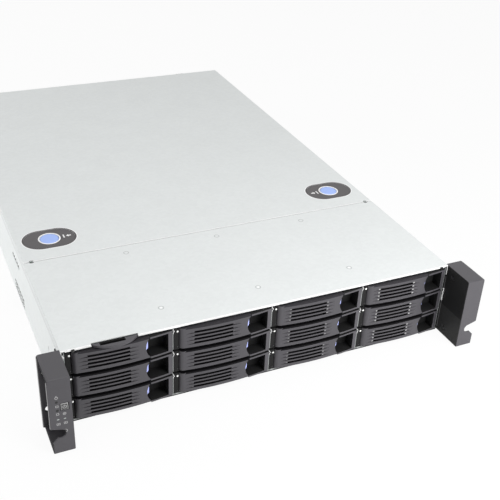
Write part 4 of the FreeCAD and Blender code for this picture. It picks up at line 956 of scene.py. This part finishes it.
def cover_latches():
    """The oval bezel, the pale ring and the little arrow round each button."""
    for side, inward in (("left", 1), ("right", -1)):
        button = middle("cover_button_" + side)
        x, y = button.x / MM, button.y / MM
        bezel = Part("z")
        bezel.pierced(ray_loop(stadium_reach(BEZEL_LONG, BEZEL_HALF), x, y),
                      ray_loop(lambda turn: BEZEL_HOLE, x, y),
                      top_mm - BEZEL_LOW, top_mm - BEZEL_HIGH)
        bezel.finish("latch_bezel_" + side, BEZEL, COVER, bevel=0.1)
        ring = Part("z")
        ring.pierced(circle(x, y, RING_OUT, 96), circle(x, y, RING_IN, 96), top_mm - RING_DEEP,
                     top_mm)
        ring.finish("latch_ring_" + side, RING, COVER, bevel=0.2)
        icon = Part("z")
        bar = x + inward * BAR_IN
        icon.block(plate(bar, y, BAR_THICK, BAR_HALF, 0.2), top_mm - ICON_LOW, top_mm - ICON_HIGH)
        tip, tail = bar + inward * ARROW_FROM, bar + inward * ARROW_TO
        neck = tail - inward * ARROW_HEAD
        arrow = [(tip, y), (neck, y - ARROW_HALF), (neck, y - ARROW_STEM), (tail, y - ARROW_STEM),
                 (tail, y + ARROW_STEM), (neck, y + ARROW_STEM), (neck, y + ARROW_HALF)]
        icon.block(arrow, top_mm - ICON_LOW, top_mm - ICON_HIGH)
        icon.finish("latch_icon_" + side, PRINT, COVER, smooth=False)


PIPE_IN, PIPE_BACK = 3.9, 0.6
PIPES = (("upper", 9.0, 1.05, PIPE), ("lower", -9.4, 0.6, TAG))


def light_pipes():
    """Two small lenses in the dark strip on the left of each tray."""
    for number in TRAYS:
        tray = "drive_tray_" + number
        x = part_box(tray)[0].x / MM + PIPE_IN
        centre = middle(tray).z / MM
        face = front_mm + PIPE_BACK
        for name, offset, radius, skin in PIPES:
            part = Part("y")
            part.turned([(radius, 1.0), (radius, -0.2), (radius * 0.7, -0.5), (0, -0.6)],
                        Vector((x, face, centre + offset)) * MM)
            part.finish("light_pipe_%s_%s" % (name, number), skin, tray)


DRIVE_MIDDLE = 82.0
LABEL_HALF, LABEL_AHEAD, LABEL_BEHIND = 34.0, 42.0, 38.0
DRIVE_SCREWS_ACROSS, DRIVE_SCREWS_ALONG = (-41.5, 41.5), (-50.0, 44.0)


def drive_labels():
    """A blank label and four cover screws on each hard drive."""
    for number in TRAYS:
        tray = "drive_tray_" + number
        low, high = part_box(tray)
        x, y = (low.x + high.x) / 2 / MM, front_mm + DRIVE_MIDDLE
        level = high.z / MM
        label = Part("z")
        outline = rounded(x - LABEL_HALF, x + LABEL_HALF, y - LABEL_AHEAD, y + LABEL_BEHIND, 2.0)
        label.block(outline, level - 0.05, level - 0.005)
        label.finish("drive_label_" + number, PAPER, tray)
        screws = Part("z")
        for across in DRIVE_SCREWS_ACROSS:
            for along in DRIVE_SCREWS_ALONG:
                screw_head(screws, x + across, y + along, 2.0, level - 0.02, 0.6)
        screws.finish("drive_screws_" + number, SCREW, tray)


EAR_SCREW_AHEAD, EAR_SCREW_LOW, EAR_SCREW_TOP = 11.5, 9.5, 10.2


def ear_screws():
    """The screws that hold each ear, two on each side."""
    ahead = front_mm - EAR_SCREW_AHEAD
    for side, sign in (("left", -1), ("right", 1)):
        screws = Part("x")
        for height in (EAR_SCREW_LOW, top_mm - EAR_SCREW_TOP):
            screw_head(screws, ahead, height, 2.3, sign * (side_mm + 0.05), 0.7, -sign)
        screws.finish("ear_screws_" + side, DARK_SCREW, SERVER, bevel=0.1)


def spring_strip(name, x, low, high, half):
    """A bright strip of spring steel with a shallow kink near its top."""
    kink = high - 2.6
    spine = [(x, low), (x, kink - 1.6), (x + 1.1, kink), (x, kink + 1.6), (x, high)]
    strip = Part("y")
    for (first, base), (second, tip) in zip(spine, spine[1:]):
        strip.block([(first - half, base), (first + half, base), (second + half, tip),
                     (second - half, tip)], front_mm - 0.9, front_mm - 0.1)
    strip.finish(name, SPRING, SERVER, smooth=False)


DIVIDER_IN = 1.1
SPRING_BELOW, SPRING_ABOVE, SPRING_HALF = 4.4, 1.0, 0.35
BUMPS = (("left_bump", -207.0), ("right_bump", 210.0))
BUMP_HALF = 1.6


def front_springs():
    """The bright clip at each end of the drive bays and the springs between the columns."""
    spring_strip("right_clip", side_mm - 1.0, 41.5, 58.0, 0.75)
    spring_strip("left_clip", 1.4 - side_mm, 64.0, 83.0, 0.8)
    for column in range(2, COLUMNS + 1):
        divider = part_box("drive_tray_%02d" % column)[0].x / MM - DIVIDER_IN
        for row in range(ROWS):
            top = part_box("drive_tray_%02d" % (column + COLUMNS * row))[1].z / MM
            spring_strip("cage_spring_%d_%d" % (column, row + 1), divider, top - SPRING_BELOW,
                         top + SPRING_ABOVE, SPRING_HALF)


def front_bumps():
    """The two small black bumps under the front cover's edge."""
    for name, x in BUMPS:
        bump = Part("y")
        bump.block(rounded(x - BUMP_HALF, x + BUMP_HALF, top_mm - 3.4, top_mm - 0.1, 0.7),
                   front_mm - 1.3, front_mm - 0.05)
        bump.finish(name, BLACK, SERVER, bevel=0.3)


# ---- pieces on the power supplies

FAN_IN = 20.0
GUARD_RADII, GUARD_WIRE, GUARD_OUT = (16.5, 12.5, 8.5, 4.5), 0.45, 1.0
STAY_HALF = 17.0
INLET_IN = 13.7 + 5.0
BLADES = ((-7.0, -1.9), (7.0, -1.9), (0.0, 2.9))
BLADE_HALF, BLADE_HIGH = 1.05, 1.55


def fan_guard(node, x, z):
    """Round wires on two crossed stays."""
    guard = Part("y")
    level = back_mm + GUARD_OUT
    for radius in GUARD_RADII:
        guard.pierced(circle(x, z, radius + GUARD_WIRE, 64), circle(x, z, radius - GUARD_WIRE, 64),
                      level - GUARD_WIRE, level + GUARD_WIRE)
    for turn in (45.0, 135.0):
        along = Vector((math.cos(math.radians(turn)), math.sin(math.radians(turn))))
        aside = Vector((-along.y, along.x)) * 0.5
        ends = [Vector((x, z)) + along * STAY_HALF, Vector((x, z)) - along * STAY_HALF]
        loop = [ends[0] + aside, ends[1] + aside, ends[1] - aside, ends[0] - aside]
        guard.block([(point.x, point.y) for point in loop], back_mm + 0.02, back_mm + 1.6)
    guard.finish(node + "_fan_guard", STEEL, node, bevel=0.15)


def supply_inlet(node, x, z):
    """The liner of the mains inlet and its three blades."""
    liner = Part("y")
    outer, mouth = plate(x, z, 13.65, 9.85, 2.0), plate(x, z, 12.0, 8.2, 3.0)
    liner.pierced(outer, mouth, back_mm - 15.9, back_mm + 0.6)
    liner.block(outer, back_mm - 15.95, back_mm - 14.6)
    liner.finish(node + "_inlet_liner", BLACK, node, bevel=0.25)
    blades = Part("y")
    for aside, up in BLADES:
        blades.block(plate(x + aside, z + up, BLADE_HALF, BLADE_HIGH, 0.3),
                     back_mm - 15.0, back_mm - 2.9)
    blades.finish(node + "_inlet_blades", STEEL, node, bevel=0.2)


def supply_lamp(node, x, z):
    lamp = Part("y")
    lamp.turned([(1.3, -0.5), (1.3, 0.3), (0.8, 0.6), (0, 0.65)], Vector((x, back_mm, z)) * MM)
    lamp.finish(node + "_lamp", GREEN, node)


def release_tab(node, left, z):
    """The blue thumb tab with its three ribs."""
    tab = Part("y")
    tab.block(rounded(left + 2.2, left + 9.0, z - 7.0, z + 7.0, 1.2), back_mm + 0.02,
              back_mm + 6.0)
    for step in (-3.6, 0.0, 3.6):
        tab.block(rounded(left + 2.0, left + 9.2, z + step - 0.7, z + step + 0.7, 0.3),
                  back_mm + 4.6, back_mm + 6.6)
    tab.finish(node + "_release_tab", BLUE, node, bevel=0.3)


def supply_trim():
    """What is on the rear face of each power supply."""
    for node in ("psu_1", "psu_2"):
        low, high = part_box(node)
        left, wide = low.x / MM, (high.x - low.x) / MM
        z = (low.z + high.z) / 2 / MM
        fan_guard(node, left + FAN_IN, z)
        supply_inlet(node, left + wide - INLET_IN, z)
        supply_lamp(node, left + 40.0, z + 13.0)
        release_tab(node, left, z)


# ---- pieces on the rear panel

BOARD_TOP = 9.8
SOCKET_DEEP = 11.8
NETWORK_AT, DATA_AT, SCREEN_AT = (-190.0, -168.0), (-146.0, -122.0), -97.0
COMB_HALF, COMB_LOW, COMB_HIGH, CONTACT_HIGH = 5.4, 3.0, 5.2, 5.7
CONTACTS, CONTACT_FROM, CONTACT_STEP, CONTACT_HALF = 8, 4.5, 1.28, 0.25
TONGUE_LEVELS, TONGUE_HALF, TONGUE_THICK = (4.6, 11.2), 4.6, 0.9
SCREEN_UP, FIELD_HALF, FIELD_HIGH = 5.4, 8.6, 3.3
PIN_LINES, PINS = 3, 5


def network_sockets():
    """The contact combs of the two network sockets."""
    for number, x in enumerate(NETWORK_AT, 1):
        comb = Part("y")
        comb.block(rounded(x - COMB_HALF, x + COMB_HALF, BOARD_TOP + COMB_LOW,
                           BOARD_TOP + COMB_HIGH, 0.3), back_mm - SOCKET_DEEP, back_mm - 4.0)
        comb.finish("network_comb_%d" % number, BLACK, SERVER, bevel=0.1)
        pins = Part("y")
        for step in range(CONTACTS):
            pin = x - CONTACT_FROM + step * CONTACT_STEP
            pins.block(rounded(pin - CONTACT_HALF, pin + CONTACT_HALF, BOARD_TOP + COMB_HIGH,
                               BOARD_TOP + CONTACT_HIGH, 0.1),
                       back_mm - SOCKET_DEEP, back_mm - 4.2)
        pins.finish("network_contacts_%d" % number, GOLD, SERVER, smooth=False)


def data_sockets():
    """The tongues of the stacked data sockets."""
    for number, x in enumerate(DATA_AT, 1):
        tongues = Part("y")
        for height in TONGUE_LEVELS:
            tongues.block(plate(x, BOARD_TOP + height, TONGUE_HALF, TONGUE_THICK, 0.3),
                          back_mm - SOCKET_DEEP, back_mm - 1.5)
        tongues.finish("data_tongues_%d" % number, BLACK, SERVER, bevel=0.15)


def screen_socket():
    """The blue insert of the screen socket, with its pin-holes."""
    x, z = SCREEN_AT, BOARD_TOP + SCREEN_UP
    field = Part("y")
    field.block(plate(x, z, FIELD_HALF, FIELD_HIGH, 1.6), back_mm - SOCKET_DEEP, back_mm - 2.0)
    field.finish("screen_insert", PALE_BLUE, SERVER, bevel=0.3)
    holes = Part("y")
    for line in range(PIN_LINES):
        for step in range(PINS):
            across = x - 6.0 + 2.7 * step + 0.9 * (line % 2)
            holes.block(circle(across, z - 2.0 + 2.0 * line, 0.45, 12),
                        back_mm - 2.0, back_mm - 1.9)
    holes.finish("screen_pin_holes", BLACK, SERVER, smooth=False)


REAR_SCREWS = ((-210.0, 80.0), (-210.0, 8.0), (-84.0, 80.0), (60.0, 80.0), (128.0, 80.0),
               (128.0, 8.0), (60.0, 8.0))
POSTS_AT, POST_HIGH, POST_RADIUS = (-111.2, -82.8), 15.2, 2.4


def rear_trim():
    """Screws and jack posts of the rear panel, and a pull-out blank label."""
    screws = Part("y")
    for x, z in REAR_SCREWS:
        screw_head(screws, x, z, 3.0, back_mm + 1.5, 1.6)
    screws.finish("rear_screws", SCREW, SERVER, bevel=0.15)
    posts = Part("y")
    for x in POSTS_AT:
        posts.block(circle(x, POST_HIGH, POST_RADIUS, 6), back_mm + 0.6, back_mm + 3.6)
    posts.finish("jack_posts", STEEL, SERVER, bevel=0.2)
    label = Part("y")
    label.block(rounded(66.0, 122.0, 30.0, 52.0, 1.5), back_mm + 0.02, back_mm + 0.14)
    label.finish("rear_label", PAPER, SERVER, smooth=False)


dress_nodes()
cover_latches()
light_pipes()
drive_labels()
ear_screws()
front_springs()
front_bumps()
supply_trim()
network_sockets()
data_sockets()
screen_socket()
rear_trim()

# ---- floor, light and camera

FLOOR_REACH = 30.0
PAPER_SHARE = 0.93


def make_floor():
    """A wide pale floor that shows nearly white and keeps a faint shadow."""
    data = bpy.data.meshes.new("floor")
    data.from_pydata([(-FLOOR_REACH, -FLOOR_REACH, 0), (FLOOR_REACH, -FLOOR_REACH, 0),
                      (FLOOR_REACH, FLOOR_REACH, 0), (-FLOOR_REACH, FLOOR_REACH, 0)],
                     [], [(0, 1, 2, 3)])
    floor = placed("floor", data)
    skin = Skin("floor_paper", grey(0.90), 0.9)
    skin.mottle(3.0, 0.01)
    path = skin.node("LightPath", {})
    seen = skin.maths("MAXIMUM", path.outputs["Is Camera Ray"], path.outputs["Is Glossy Ray"])
    seen = skin.maths("MAXIMUM", seen, path.outputs["Is Transmission Ray"])
    paper = skin.node("Emission", {"Color": (1, 1, 1, 1)})
    mixed = skin.node("MixShader", {"Fac": skin.maths("MULTIPLY", seen, PAPER_SHARE),
                                    1: skin.shader.outputs["BSDF"], 2: paper.outputs["Emission"]})
    skin.link(mixed.outputs["Shader"], skin.tree.nodes["Material Output"].inputs["Surface"])
    data.materials.append(skin.material)


def make_world(strength):
    """A pale sky: plain light on the object, white where it is seen or mirrored."""
    world = bpy.data.worlds.new("studio")
    world.use_nodes = True
    bpy.context.scene.world = world
    nodes = Nodes(world.node_tree)
    path = nodes.node("LightPath", {})
    seen = nodes.maths("MAXIMUM", path.outputs["Is Camera Ray"], path.outputs["Is Glossy Ray"])
    sky = nodes.tree.nodes["Background"]
    nodes.link(nodes.spread(seen, strength, 1.0), sky.inputs["Strength"])
    sky.inputs["Color"].default_value = (0.985, 0.985, 0.985, 1)


def make_lamp(name, place, aim, wide, high, power, mirrored=True):
    """A soft rectangular lamp; one that isn't mirrored leaves no glare on the sheet metal."""
    data = bpy.data.lights.new(name, "AREA")
    data.shape = "RECTANGLE"
    data.size, data.size_y = wide, high
    data.energy = power
    lamp = placed(name, data)
    lamp.location = place
    lamp.visible_glossy = mirrored
    lamp.rotation_euler = (Vector(aim) - Vector(place)).to_track_quat("-Z", "Y").to_euler()


CAMERA_AT = (-0.3355, -0.9742, 0.5787)
CAMERA_TURNS = (59.20, -2.48, -24.31)
LENS, SENSOR = 60.97, 36.0


def make_camera():
    """The camera, fitted to the photograph by the sizes of a standard rack server."""
    data = bpy.data.cameras.new("camera")
    data.sensor_width = SENSOR
    data.lens = LENS
    camera = placed("camera", data)
    camera.location = CAMERA_AT
    camera.rotation_euler = [math.radians(turn) for turn in CAMERA_TURNS]
    bpy.context.scene.camera = camera


make_floor()
make_world(0.32)
make_lamp("key", (0.34, -0.9, 0.36), (0.26, -0.38, 0.03), 0.45, 0.35, 5.7, mirrored=False)
make_lamp("overhead", (-0.05, -0.36, 1.5), (0.0, -0.2, 0.0), 1.4, 1.4, 9.8)
make_lamp("left_fill", (-1.7, 0.5, 0.5), (-0.2, 0.1, 0.05), 1.2, 0.5, 14.5, mirrored=False)
make_camera()
bpy.context.scene.view_settings.view_transform = "Standard"
